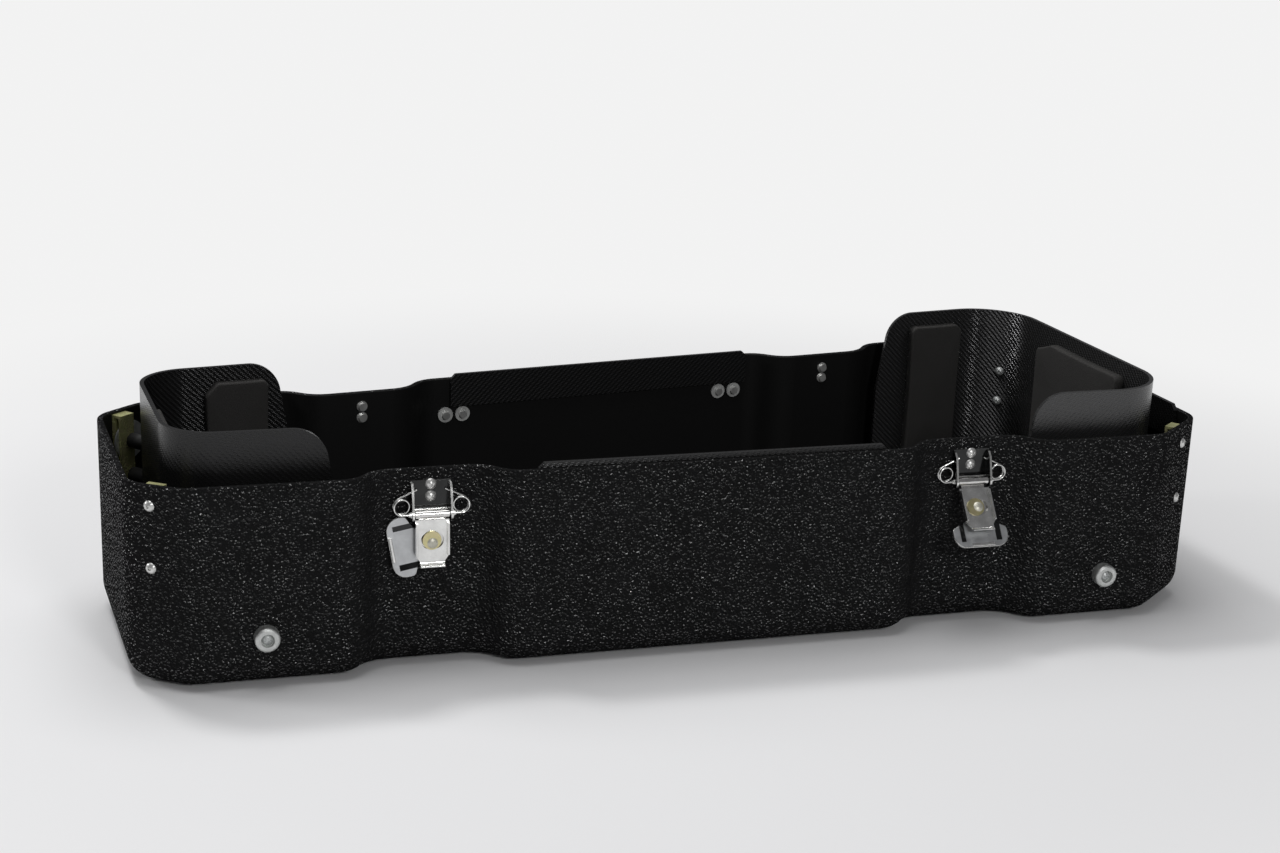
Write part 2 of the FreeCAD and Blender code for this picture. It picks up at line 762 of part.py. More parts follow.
def latch_wing():
    """Wing pointing to the hook end: a neck, a pressed panel between two finger leaves, a lip and its hub."""
    outer = wing_height - wing_reach
    neck_low = wing_height - wing_reach * wing_neck_share
    shoulder = wing_height - wing_reach * wing_shoulder_share
    neck = wing_neck_width / 2
    broad = wing_outer_width / 2
    corners = [
        Vector(neck, -wing_back_out, wing_height),
        Vector(neck, -wing_back_out, neck_low),
        Vector(broad, -wing_back_out, shoulder),
        Vector(broad, -wing_back_out, outer),
        Vector(-broad, -wing_back_out, outer),
        Vector(-broad, -wing_back_out, shoulder),
        Vector(-neck, -wing_back_out, neck_low),
        Vector(-neck, -wing_back_out, wing_height),
    ]
    radii = (wing_neck_bend, wing_neck_bend, wing_corner, wing_corner, wing_neck_bend, wing_neck_bend)
    edges = rounded_chain(corners, radii)
    edges.append(Part.LineSegment(corners[-1], corners[0]).toShape())
    blade = eased(Part.Face(Part.Wire(edges)).extrude(Vector(0, -wing_sheet, 0)), wing_edge_round)
    panel = wing_panel_width / 2
    panel_low = outer + wing_panel_margin
    panel_y = -wing_front_out + wing_panel_depth
    above_y = -wing_front_out - wing_panel_depth
    profile = [
        Vector(-panel, panel_y, panel_low),
        Vector(panel, panel_y, panel_low),
        Vector(panel + 2 * wing_panel_slope, above_y, panel_low),
        Vector(-panel - 2 * wing_panel_slope, above_y, panel_low),
        Vector(-panel, panel_y, panel_low),
    ]
    pressing = Part.Face(Part.makePolygon(profile)).extrude(Vector(0, 0, neck_low - panel_low))
    blade = blade.cut(pressing)
    disc = rod(neck, Vector(0, -wing_back_out, wing_height), Vector(0, -wing_front_out, wing_height))
    lip_half = wing_lip_length / 2
    lip_low = outer + wing_edge_round
    lip_y = (-wing_front_out - wing_lip_height, -wing_front_out)
    lip = eased(box((-lip_half, lip_half), lip_y, (lip_low, lip_low + wing_lip_width)), wing_edge_round)
    hub = rod(hub_radius, Vector(0, -wing_front_out, wing_height), Vector(0, -hook_web_out, wing_height))
    body = blade.fuse([disc, lip, hub]).removeSplitter()
    axis = Vector(0, -pin_out, wing_height)
    return body.cut(rod_both_ways(cam_rivet_radius + hole_clearance, axis, along_y, 2 * pin_out))


def latch_cam():
    """Eccentric: a disc in the hook plate's window and a cap over it, both to the left of the pivot."""
    throw = hook_draw / 2
    seat = hook_web_out
    cap = hook_web_out + latch_sheet + glue_gap
    centre = Vector(-throw, 0, wing_height)
    cap_back = centre + Vector(0, -cap, 0)
    disc = rod(cam_radius, centre + Vector(0, -seat, 0), cap_back)
    cover = rod(cam_cap_radius, cap_back, cap_back - along_y * cam_cap_thickness)
    axis = Vector(0, -pin_out, wing_height)
    shank = rod_both_ways(cam_rivet_radius + hole_clearance, axis, along_y, 2 * pin_out)
    return disc.fuse(cover).removeSplitter().cut(shank)


def latch_cam_rivet():
    front = hook_web_out + latch_sheet + glue_gap + cam_cap_thickness
    outer = Vector(0, -front, wing_height)
    inner = Vector(0, -wing_back_out, wing_height)
    shank = rod(cam_rivet_radius, inner, outer)
    head = dome_head(cam_rivet_head_radius, cam_rivet_head_height, outer, -along_y)
    tail = rod(cam_rivet_head_radius, inner, inner + along_y * cam_rivet_tail_height)
    return shank.fuse([head, tail]).removeSplitter()


def arc_along(start, tangent, end):
    """Arc from a point with a given direction to another point, and its direction there."""
    chord = end - start
    normal = (chord - tangent * chord.dot(tangent)).normalize()
    radius = chord.Length ** 2 / (2 * chord.dot(normal))
    centre = start + normal * radius
    middle = centre + ((start - centre) + (end - centre)).normalize() * radius
    spin = (start - centre).cross(tangent)
    return Part.Arc(start, middle, end).toShape(), spin.cross(end - centre).normalize()


def biarc(start, tangent, end, end_tangent):
    """Two arcs that join two points with given directions."""
    chord = end - start
    both = tangent + end_tangent
    spread = 2 * (1 - tangent.dot(end_tangent))
    along = chord.dot(both)
    reach = (math.sqrt(along ** 2 + spread * chord.Length ** 2) - along) / spread
    joint = ((start + tangent * reach) + (end - end_tangent * reach)) * (1 / 2)
    first, direction = arc_along(start, tangent, joint)
    second, last = arc_along(joint, direction, end)
    return [first, second]


def wire_exit(sign):
    """Point and direction of a spring's upper leg where it meets the outer face of the ear."""
    slope = 2 * math.pi * (3 / 2 - spring_turns)
    start_x = spring_coil_place + spring_coil_radius * math.sin(slope)
    start_z = pin_height + spring_coil_radius * (1 + math.cos(slope))
    ear_face = latch_plate_width / 2 + spring_wire_radius
    rise = (start_x - ear_face) * math.tan(slope)
    point = Vector(sign * ear_face, -spring_upper_out, start_z + rise)
    return point, Vector(-sign * math.cos(slope), 0, math.sin(slope))


def latch_spring(sign):
    """Wire spring beside the base plate: a leg out of the pin's bore, a coil, and a leg through the ear."""
    centre = Vector(sign * spring_coil_place, 0, pin_height + spring_coil_radius)
    rise = pin_out - spring_upper_out
    pitch = rise / spring_turns

    def coil_point(turn):
        angle = 2 * math.pi * turn
        across = sign * spring_coil_radius * math.sin(angle)
        up = -spring_coil_radius * math.cos(angle)
        return centre + Vector(across, -pin_out + pitch * turn, up)

    def coil_direction(turn):
        angle = 2 * math.pi * turn
        sweep = 2 * math.pi * spring_coil_radius
        return Vector(sign * sweep * math.cos(angle), pitch, sweep * math.sin(angle)).normalize()

    steps = int(round(spring_turns * spring_steps_each_turn))
    turns = [spring_turns * i / steps for i in range(steps + 1)]
    reach = latch_plate_width / 2 + pin_overhang - spring_leg_in_pin
    leg_start = Vector(sign * reach, -pin_out, pin_height)
    straight = Vector(sign, 0, 0)
    bend_x = sign * (latch_plate_width / 2 + pin_overhang + spring_wire_radius)
    bend = Vector(bend_x, -pin_out, pin_height)
    edges = [Part.LineSegment(leg_start, bend).toShape()]
    edges += biarc(bend, straight, coil_point(turns[0]), coil_direction(turns[0]))
    for a, b in zip(turns[:-1], turns[1:]):
        edges += biarc(coil_point(a), coil_direction(a), coil_point(b), coil_direction(b))
    last = coil_point(turns[-1])
    through = wire_exit(sign)
    edges += biarc(last, coil_direction(turns[-1]), *through)
    leg_end = through[0] + through[1] * (spring_leg_past_ear + 2 * latch_sheet)
    edges.append(Part.LineSegment(through[0], leg_end).toShape())
    path = Part.Wire(edges)
    ring = Part.Wire(Part.Circle(leg_start, straight, spring_wire_radius).toShape())
    return path.makePipeShell([ring], True, False), path


def least_gap(path, wire_radius, apart):
    """Least clear gap between stretches of a wire that are further apart along it than the given length."""
    points = path.discretize(Number=spring_samples)
    step = path.Length / (len(points) - 1)
    skip = int(math.ceil(apart / step))
    gap = path.Length
    for i in range(len(points)):
        for j in range(i + skip, len(points)):
            gap = min(gap, (points[i] - points[j]).Length)
    return gap - 2 * wire_radius


def turned_wing(shape, angle):
    turned = shape.copy()
    turned.rotate(Vector(0, 0, wing_height), Vector(0, 1, 0), angle)
    return turned


def swung_arm(shape, angle):
    swung = shape.copy()
    swung.rotate(Vector(0, -pin_out, pin_height), Vector(1, 0, 0), -angle)
    return swung


def latch_pieces(name):
    """Base plate and moving pieces of one latch in its own frame, at its rest angles."""
    side, along, arm_angle, wing_angle = latch_rest[name]
    drawn = hook_draw * (1 / 2 + wing_angle / half_turn_angle)
    return {
        "base": latch_base(),
        "link": swung_arm(latch_link(), arm_angle),
        "hook": swung_arm(latch_hook(drawn), arm_angle),
        "wing": swung_arm(turned_wing(latch_wing(), wing_angle), arm_angle),
        "cam": swung_arm(turned_wing(latch_cam(), wing_angle), arm_angle),
        "cam_rivet": swung_arm(turned_wing(latch_cam_rivet(), wing_angle), arm_angle),
    }


def foot():
    """Metal stud on the front wall: a rounded disc with a bore for its screw's head at Y below zero."""
    sleeve = rod(foot_radius, Vector(0, 0, foot_height), Vector(0, -foot_length, foot_height))
    rim = [e for e in sleeve.Edges if e.BoundBox.YMax < -foot_length / 2]
    sleeve = sleeve.makeFillet(foot_edge_round, rim)
    seat = Vector(0, -foot_base, foot_height)
    bore = rod(foot_bore_radius, seat, seat - along_y * foot_length)
    hole = rod_both_ways(foot_screw_radius + hole_clearance, seat, along_y, foot_length)
    return sleeve.cut(bore).cut(hole)


def foot_screw():
    seat = Vector(0, -foot_base, foot_height)
    head = dome_head(foot_screw_head_radius, foot_screw_head_height, seat, -along_y)
    shank = rod(foot_screw_radius, seat, Vector(0, wall + foot_nut_height, foot_height))
    arm = foot_slot_length / 2
    web = foot_slot_width / 2
    top = -foot_base - foot_screw_head_height
    deep = (top, top + foot_slot_depth)
    cross = box((-arm, arm), deep, (foot_height - web, foot_height + web))
    cross = cross.fuse(box((-web, web), deep, (foot_height - arm, foot_height + arm)))
    return head.fuse(shank).removeSplitter().cut(cross)


def ring(radius, bore_radius, start, end):
    axis = (end - start).normalize()
    return rod(radius, start, end).cut(rod(bore_radius, start - axis * overrun, end + axis * overrun))


def handle_bracket(sign):
    """Foot plate with a boss that holds one end of the bail. Its outside is at Y below zero."""
    middle = sign * (handle_inner_rivet + handle_outer_rivet) / 2
    half_x, half_z = handle_foot_length / 2, handle_foot_height / 2
    inner_x = sign * handle_pivot_place
    outer_x = middle + sign * half_x
    low, high = handle_height - half_z, handle_height + half_z
    plate = box((inner_x, outer_x), (-handle_foot_thickness, 0), (low, high))
    upright = [e for e in plate.Edges if e.BoundBox.YLength > handle_foot_thickness / 2]
    plate = plate.makeFillet(handle_foot_round, upright)
    axis = Vector(inner_x, -handle_pivot_out, handle_height)
    boss = rod(handle_boss_radius, axis, axis + Vector(sign * handle_boss_length, 0, 0))
    rib_x = (inner_x, inner_x + sign * handle_boss_length)
    rib_z = (handle_height - handle_boss_radius, handle_height + handle_boss_radius)
    rib = box(rib_x, (-handle_pivot_out, 0), rib_z)
    body = plate.fuse([boss, rib]).removeSplitter()
    body = body.cut(rod_both_ways(bail_radius + pin_clearance, axis, along_x, 2 * handle_boss_length))
    for place in handle_rivet_places:
        point = Vector(sign * place, 0, handle_height)
        hole = rod_both_ways(rivet_shank_radius + hole_clearance, point, along_y, 2 * handle_foot_thickness)
        body = body.cut(hole)
    return body


def handle_bail():
    """Round bar bent to a U, hanging from the two bosses."""
    reach = handle_pivot_place + handle_boss_length - bail_end_gap
    leg = handle_pivot_place - bail_end_gap - bail_turn
    top, low = handle_height, handle_height - bail_drop
    corners = [
        Vector(-reach, -handle_pivot_out, top),
        Vector(-leg, -handle_pivot_out, top),
        Vector(-leg, -handle_pivot_out, low),
        Vector(leg, -handle_pivot_out, low),
        Vector(leg, -handle_pivot_out, top),
        Vector(reach, -handle_pivot_out, top),
    ]
    path = Part.Wire(rounded_chain(corners, (bail_turn, bail_bend, bail_bend, bail_turn)))
    start = Part.Wire(Part.Circle(corners[0], Vector(1, 0, 0), bail_radius).toShape())
    return path.makePipeShell([start], True, False)


def handle_grip():
    """Moulded grip on the bail: a barrel with a slight waist."""
    half = grip_length / 2
    low = handle_height - bail_drop
    axis = Vector(0, -handle_pivot_out, low)
    waist = Vector(0, 0, grip_waist_radius)
    left, right = Vector(-half, 0, grip_radius), Vector(half, 0, grip_radius)
    edges = [
        Part.LineSegment(Vector(-half, 0, 0), left).toShape(),
        Part.Arc(left, waist, right).toShape(),
        Part.LineSegment(right, Vector(half, 0, 0)).toShape(),
        Part.LineSegment(Vector(half, 0, 0), Vector(-half, 0, 0)).toShape(),
    ]
    barrel = Part.Face(Part.Wire(edges)).revolve(Vector(0, 0, 0), Vector(1, 0, 0), 360)
    ends = [e for e in barrel.Edges if e.Length > 2 * math.pi * grip_waist_radius]
    barrel = barrel.makeFillet(grip_end_round, ends)
    barrel = barrel.cut(rod_both_ways(bail_radius + hole_clearance, Vector(0, 0, 0), along_x, grip_length))
    barrel.translate(axis)
    return barrel


def side_tongue(name):
    """Strip on the inner face of a side wall's middle panel, standing above the rim."""
    return placed(tongue_strip(side_tongue_length), wall_frame(name, 0, wall))


def tongue_strip(length):
    half = length / 2
    outline = [
        Vector(-half, 0, tongue_bottom),
        Vector(half, 0, tongue_bottom),
        Vector(half, 0, tongue_top - tongue_corner_cut),
        Vector(half - tongue_corner_cut, 0, tongue_top),
        Vector(-half + tongue_corner_cut, 0, tongue_top),
        Vector(-half, 0, tongue_top - tongue_corner_cut),
        Vector(-half, 0, tongue_bottom),
    ]
    return Part.Face(Part.makePolygon(outline)).extrude(Vector(0, tongue_thickness, 0))


nodes = {}

# Cradles and pads
for which in ("scroll", "body"):
    nodes[which + "_cradle"] = cradle(which)

# Corner brackets, bobbins, screws and rivets
shell_holes = []
bracket_rivets = []
cradle_screws = []
cradle_nuts = []
bobbins = {"scroll": [], "body": []}
mount_washers = []
for corner_name, which in corner_cradles.items():
    frame = wall_frame(corner_name, bracket_place(corner_name), wall)
    arc_centre = frame.inverse().multVec(cradle_arc_centre(which, corner_name.startswith("front")))
    screw_x = arc_centre.x * cradle_pull_share
    nodes[corner_name + "_bracket"] = placed(bracket(screw_x), frame)
    for height in bracket_rivet_heights:
        rivet = blind_rivet(wall + strip)
        rivet.translate(Vector(0, -wall, height))
        bracket_rivets.append(placed(rivet, frame))
        hole = rod_both_ways(rivet_shank_radius + hole_clearance, Vector(0, 0, height), along_y, 2 * wall)
        shell_holes.append(placed(hole, frame))
    inner = cradle_sizes[which][3] - sheet
    off = abs(screw_x - arc_centre.x)
    seat = arc_centre.y - math.sqrt(inner ** 2 - (off + cradle_screw_head_radius) ** 2) + glue_gap
    screw_hole = cradle_screw_radius + hole_clearance
    for height in cradle_screw_heights:
        leaf_front = Vector(screw_x, bracket_depth, height)
        leaf_back = leaf_front - Vector(0, strip, 0)
        block = ring(bobbin_radius, screw_hole, leaf_front, Vector(screw_x, arc_centre.y, height))
        bobbins[which].append(placed(block, frame).cut(cradle_block(which)))
        nut_end = leaf_back
        if height == max(cradle_screw_heights):
            nut_end = leaf_back - Vector(0, mount_washer_thickness, 0)
            mount_washers.append(placed(ring(mount_washer_radius, screw_hole, nut_end, leaf_back), frame))
        nut_start = nut_end - Vector(0, cradle_nut_height, 0)
        nut = hexagon(cradle_nut_across, nut_start, nut_end)
        nut = nut.cut(rod_both_ways(screw_hole, nut_start, along_y, 2 * cradle_nut_height))
        cradle_nuts.append(placed(nut, frame))
        head_seat = Vector(screw_x, seat, height)
        head = dome_head(cradle_screw_head_radius, cradle_screw_head_height, head_seat, along_y)
        shank = rod(cradle_screw_radius, nut_start, head_seat)
        head_top = head_seat + along_y * cradle_screw_head_height
        socket = hexagon(cradle_socket_across, head_top - along_y * cradle_socket_depth, head_top)
        cradle_screws.append(placed(head.fuse(shank).removeSplitter().cut(socket), frame))
        hole = rod(screw_hole, leaf_front, head_seat + Vector(0, overrun, 0))
        nodes[which + "_cradle"] = nodes[which + "_cradle"].cut(placed(hole, frame))
nodes["bracket_rivets"] = Part.makeCompound(bracket_rivets)
nodes["cradle_screws"] = Part.makeCompound(cradle_screws)
nodes["cradle_nuts"] = Part.makeCompound(cradle_nuts)
nodes["mount_washers"] = Part.makeCompound(mount_washers)
for which in ("scroll", "body"):
    nodes[which + "_bobbins"] = Part.makeCompound(bobbins[which])

# Foam pads on the wings and the ends of the cradles
for which, free_gap, corner_gap, cut in (
    ("scroll", scroll_pad_free_gap, scroll_pad_corner_gap, scroll_pad_cut),
    ("body", body_pad_free_gap, body_pad_corner_gap, body_pad_cut),
):
    outward, side_inset, end_inset, corner, wing_end = cradle_sizes[which]
    start = wing_end + free_gap
    end = half_length - end_inset - corner - corner_gap
    width = (end - start) * taper_stretch
    along = outward * (start + end) / 2 * taper_stretch
    inset = side_inset + sheet + glue_gap
    nodes[which + "_front_pad"] = placed(pad(width, outward, cut, cut), wall_frame("front", along, inset))
    nodes[which + "_rear_pad"] = placed(pad(width, -outward, cut, cut), wall_frame("rear", -along, inset))
scroll_end_frame = wall_frame("left_end", scroll_end_y, scroll_end_inset + sheet + glue_gap)
body_end_frame = wall_frame("right_end", body_end_y, body_end_inset + sheet + glue_gap)
scroll_end_pad_width = 2 * (cradle_arc_centre("scroll", False).y - scroll_end_pad_gap)
body_end_pad_width = 2 * (cradle_arc_centre("body", False).y - body_end_pad_gap)
scroll_end_pad = pad(scroll_end_pad_width, -1, end_pad_cut_width, end_pad_cut_height)
body_end_pad = pad(body_end_pad_width, 1, end_pad_cut_width, end_pad_cut_height)
nodes["scroll_end_pad"] = placed(scroll_end_pad, scroll_end_frame)
nodes["body_end_pad"] = placed(body_end_pad, body_end_frame)

# Locating tongues
nodes["front_tongue"] = side_tongue("front")
nodes["rear_tongue"] = side_tongue("rear")
end_strip = tongue_strip(2 * (body_end_y - end_tongue_gap))
nodes["end_tongue"] = placed(end_strip, wall_frame("right_end", body_end_y, wall))

# Latches and their rivets
latch_rivets = []
latch_pins = []
latch_springs = []
for name in latch_rest:
    frame = latch_frame(name)
    for piece, shape in latch_pieces(name).items():
        nodes[name + "_latch_" + piece] = placed(shape, frame)
    latch_pins.append(placed(latch_pin(), frame))
    for sign in (-1, 1):
        spring, path = latch_spring(sign)
        latch_springs.append(placed(spring, frame))
    for height in latch_rivet_heights:
        rivet = blind_rivet(latch_sheet + wall, True)
        rivet.translate(Vector(0, -latch_sheet, height))
        latch_rivets.append(placed(rivet, frame))
        hole = rod_both_ways(rivet_shank_radius + hole_clearance, Vector(0, 0, height), along_y, 2 * wall)
        shell_holes.append(placed(hole, frame))
nodes["latch_rivets"] = Part.makeCompound(latch_rivets)
nodes["latch_pins"] = Part.makeCompound(latch_pins)
nodes["latch_springs"] = Part.makeCompound(latch_springs)
spring_gap = least_gap(path, spring_wire_radius, math.pi * spring_coil_radius)
print("latch springs: least gap to themselves", round(spring_gap, 2), "mm")

# Feet
feet = []
foot_screws = []
foot_nuts = []
for place in foot_places:
    frame = wall_frame("front", place)
    feet.append(placed(foot(), frame))
    foot_screws.append(placed(foot_screw(), frame))
    inside = Vector(0, wall, foot_height)
    screw_hole = foot_screw_radius + hole_clearance
    nut = ring(foot_nut_radius, screw_hole, inside, inside + along_y * foot_nut_height)
    foot_nuts.append(placed(nut, frame))
    shell_holes.append(placed(rod_both_ways(screw_hole, inside, along_y, 2 * wall), frame))
nodes["feet"] = Part.makeCompound(feet)
nodes["foot_screws"] = Part.makeCompound(foot_screws)
nodes["foot_nuts"] = Part.makeCompound(foot_nuts)

# Handle
handle_frame = wall_frame("rear", handle_middle)
nodes["handle_bracket_left"] = placed(handle_bracket(1), handle_frame)
nodes["handle_bracket_right"] = placed(handle_bracket(-1), handle_frame)
nodes["handle_bail"] = placed(handle_bail(), handle_frame)
nodes["handle_grip"] = placed(handle_grip(), handle_frame)
handle_rivets = []
handle_washers = []
handle_hole = rivet_shank_radius + hole_clearance
for sign in (-1, 1):
    for place in handle_rivet_places:
        rivet = blind_rivet(handle_foot_thickness + wall + handle_washer_thickness)
        rivet.translate(Vector(sign * place, -handle_foot_thickness, handle_height))
        handle_rivets.append(placed(rivet, handle_frame))
        inside = Vector(sign * place, wall, handle_height)
        washer_end = inside + along_y * handle_washer_thickness
        washer = ring(handle_washer_radius, handle_hole, inside, washer_end)
        handle_washers.append(placed(washer, handle_frame))
        shell_holes.append(placed(rod_both_ways(handle_hole, inside, along_y, 2 * wall), handle_frame))
nodes["handle_rivets"] = Part.makeCompound(handle_rivets)
nodes["handle_washers"] = Part.makeCompound(handle_washers)

# Base shell, with its rivet and screw holes
shell = rounded_tray(0, 0, rim_height)
shell = shell.cut(rounded_tray(wall, wall, rim_height + overrun))
rim_edges = [edge for edge in shell.Edges if rim_height - edge.BoundBox.ZMin < edge_tolerance]
shell = shell.makeFillet(rim_round, rim_edges)
nodes["base_shell"] = shell.cut(shell_holes)

os.makedirs("parts", exist_ok=True)
for node, shape in nodes.items():
    shape.exportStep("parts/" + node + ".step")
    print(node, "solids", len(shape.Solids), "valid", shape.isValid(), "volume", round(shape.Volume, 1))
print(len(nodes), "nodes")
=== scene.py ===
import math
import bpy
import numpy as np
from mathutils import Matrix, Vector


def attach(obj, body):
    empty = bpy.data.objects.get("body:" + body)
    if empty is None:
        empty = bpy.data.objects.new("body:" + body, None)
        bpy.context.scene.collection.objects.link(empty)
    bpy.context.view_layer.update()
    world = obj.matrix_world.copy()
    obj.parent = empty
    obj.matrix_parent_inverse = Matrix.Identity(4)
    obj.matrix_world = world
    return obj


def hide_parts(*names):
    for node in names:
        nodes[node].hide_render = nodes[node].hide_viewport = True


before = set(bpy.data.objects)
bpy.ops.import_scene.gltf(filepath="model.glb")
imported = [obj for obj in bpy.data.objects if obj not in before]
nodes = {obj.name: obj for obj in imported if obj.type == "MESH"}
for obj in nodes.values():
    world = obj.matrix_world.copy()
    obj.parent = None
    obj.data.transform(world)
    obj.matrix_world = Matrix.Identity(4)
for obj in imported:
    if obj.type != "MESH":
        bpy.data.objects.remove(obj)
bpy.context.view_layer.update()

print("frame loaded:", len(nodes), "nodes")


# a socket inside one material; arithmetic on it adds Math nodes, and make() adds any other node
class Wire:
    def __init__(self, tree, socket=None):
        self.tree = tree
        self.socket = socket

    # settings are set before the sockets
    def make(self, kind, settings=None, values=None, out=0):
        node = self.tree.nodes.new(kind)
        for name, value in (settings or {}).items():
            setattr(node, name, value)
        for key, value in (values or {}).items():
            if isinstance(value, Wire):
                self.tree.links.new(value.socket, node.inputs[key])
            else:
                node.inputs[key].default_value = value
        return Wire(self.tree, node.outputs[out] if len(node.outputs) else None)

    def calc(self, operation, *values):
        return self.make("ShaderNodeMath", {"operation": operation}, dict(enumerate(values)))

    def __add__(self, other):
        return self.calc("ADD", self, other)

    def __radd__(self, other):
        return self.calc("ADD", other, self)

    def __sub__(self, other):
        return self.calc("SUBTRACT", self, other)

    def __rsub__(self, other):
        return self.calc("SUBTRACT", other, self)

    def __mul__(self, other):
        return self.calc("MULTIPLY", self, other)

    def __rmul__(self, other):
        return self.calc("MULTIPLY", other, self)

    def __truediv__(self, other):
        return self.calc("DIVIDE", self, other)

    def __rtruediv__(self, other):
        return self.calc("DIVIDE", other, self)

    def __mod__(self, other):
        return self.calc("FLOORED_MODULO", self, other)

    def __pow__(self, other):
        return self.calc("POWER", self, other)

    def __lt__(self, other):
        return self.calc("LESS_THAN", self, other)

    def __gt__(self, other):
        return self.calc("GREATER_THAN", self, other)

    def __abs__(self):
        return self.calc("ABSOLUTE", self)

    # smooth step from 0 at low to 1 at high
    def ease(self, low, high):
        return self.make("ShaderNodeMapRange", {"interpolation_type": "SMOOTHSTEP"},
                         {0: self, 1: low, 2: high, 3: 0.0, 4: 1.0})

    def blend(self, first, second):
        return self.make("ShaderNodeMix", {"data_type": "RGBA"}, {0: self, 6: first, 7: second}, 2)


# an empty material and the board its nodes go on
def newFinish(name):
    finish = bpy.data.materials.new(name)
    finish.use_nodes = True
    finish.node_tree.nodes.clear()
    return finish, Wire(finish.node_tree)


def place(board):
    return board.make("ShaderNodeTexCoord", out="Object")


def axes(board, vector):
    return [board.make("ShaderNodeSeparateXYZ", None, {0: vector}, axis) for axis in range(3)]


def vectors(board, operation, *values):
    return board.make("ShaderNodeVectorMath", {"operation": operation}, dict(enumerate(values)))


def scaled(board, vector, factor):
    return board.make("ShaderNodeVectorMath", {"operation": "SCALE"}, {0: vector, "Scale": factor})


def noise(board, vector, scale, detail=2.0, roughness=0.5):
    return board.make("ShaderNodeTexNoise", None, {
        "Vector": vector, "Scale": scale, "Detail": detail, "Roughness": roughness})


# distance to the middle of the nearest of many scattered cells
def cells(board, vector, scale):
    return board.make("ShaderNodeTexVoronoi", None, {"Vector": vector, "Scale": scale})


# raised and sunken surface from a height field, in metres of depth
def relief(board, height, depth, strength=1.0):
    return board.make("ShaderNodeBump", None, {"Height": height, "Distance": depth, "Strength": strength})


def close(board, values):
    shader = board.make("ShaderNodeBsdfPrincipled", None, values)
    board.make("ShaderNodeOutputMaterial", None, {"Surface": shader})


def grey(value, tint=(1.0, 1.0, 1.0)):
    return (value * tint[0], value * tint[1], value * tint[2], 1.0)


# a plain finish: its shade drifts slowly between two greys, and a fine grain roughens it
def grainedFinish(name, look):
    finish, board = newFinish(name)
    where = place(board)
    grain = noise(board, where, look["grainScale"], look["grainDetail"], look["grainMix"])
    drift = noise(board, where, look["driftScale"])
    values = {
        "Base Color": drift.blend(grey(look["shades"][0]), grey(look["shades"][1])),
        "Roughness": look["rough"] + grain * look["roughSpread"],
        "Normal": relief(board, grain, look["depth"], look["strength"])}
    values.update(look["sockets"])
    close(board, values)
    return finish


def dress(finish, *names):
    for name in names:
        piece = nodes[name]
        piece.data.materials.clear()
        piece.data.materials.append(finish)


# gives each face of a node the finish that its index names
def dressFaces(name, finishes, index):
    piece = nodes[name]
    piece.data.materials.clear()
    for finish in finishes:
        piece.data.materials.append(finish)
    piece.data.polygons.foreach_set("material_index", index.astype(np.int32))
    piece.data.update()


# middles, normals and areas of a mesh's faces
def faceTable(mesh):
    count = len(mesh.polygons)
    centre = np.empty(count * 3, np.float32)
    normal = np.empty(count * 3, np.float32)
    area = np.empty(count, np.float32)
    mesh.polygons.foreach_get("center", centre)
    mesh.polygons.foreach_get("normal", normal)
    mesh.polygons.foreach_get("area", area)
    return centre.reshape(-1, 3), normal.reshape(-1, 3), area


# 1 on the faces that look away from the axis line, 0 on those that look at it
def outerFaces(mesh, axisHeight, axisReach):
    centre, normal = faceTable(mesh)[:2]
    axis = np.zeros_like(centre)
    axis[:, 0] = np.clip(centre[:, 0], -axisReach, axisReach)
    axis[:, 2] = axisHeight
    return np.sum((centre - axis) * normal, axis=1) > 0


def dressBothSides(name, inner, outer, axisHeight, axisReach):
    dressFaces(name, (inner, outer), outerFaces(nodes[name].data, axisHeight, axisReach))


# tub: moulded black plastic, pebbled outside, smooth inside
tub = {
    "pebbleScale": 480.0,       # pebbles in a metre
    "pebbleDepth": 0.00072,
    "pebbleSpan": (0.05, 0.7),  # where a pebble's top ends and where its foot lies, in cells
    "wander": 0.0010,           # how far the pebbles stray from even cells
    "wanderScale": 620.0, "wanderDetail": 1.0,
    "lean": 0.00038,            # how far below a spot its pebble is felt, to tell the faces that look up
    "upRange": (0.02, 0.34),
    "glossScale": 420.0, "glossDetail": 1.0, "glossRange": (0.32, 0.64),
    "fineScale": 1500.0, "fineBump": 0.2,
    "wideScale": 45.0, "wideBump": 0.2,
    "base": 0.0118, "low": 0.7, "high": 1.4, "highTint": (1.0, 1.0, 1.05),
    # the first share is random wide tone; the second is painted shade, with pebble tops painted lighter and
    # the hollows between pebbles darker
    "wideShare": 0.6, "pebblePaintedShadeShare": 0.4,
    "rough": 0.50, "fineRough": 0.10,
    "coatRough": 0.14, "coatIndex": 2.1,
    "axisHeight": 0.09,         # the line that tells inside from outside runs this high
    "axisReach": 0.28,
}
tubInside = {
    "grainScale": 700.0, "grainDetail": 3.0, "grainMix": 0.5, "driftScale": 9.0,
    "shades": (0.0040, 0.00625),
    "rough": 0.46, "roughSpread": 0.16, "depth": 0.00012, "strength": 0.6,
    "sockets": {"Specular IOR Level": 0.22},
}


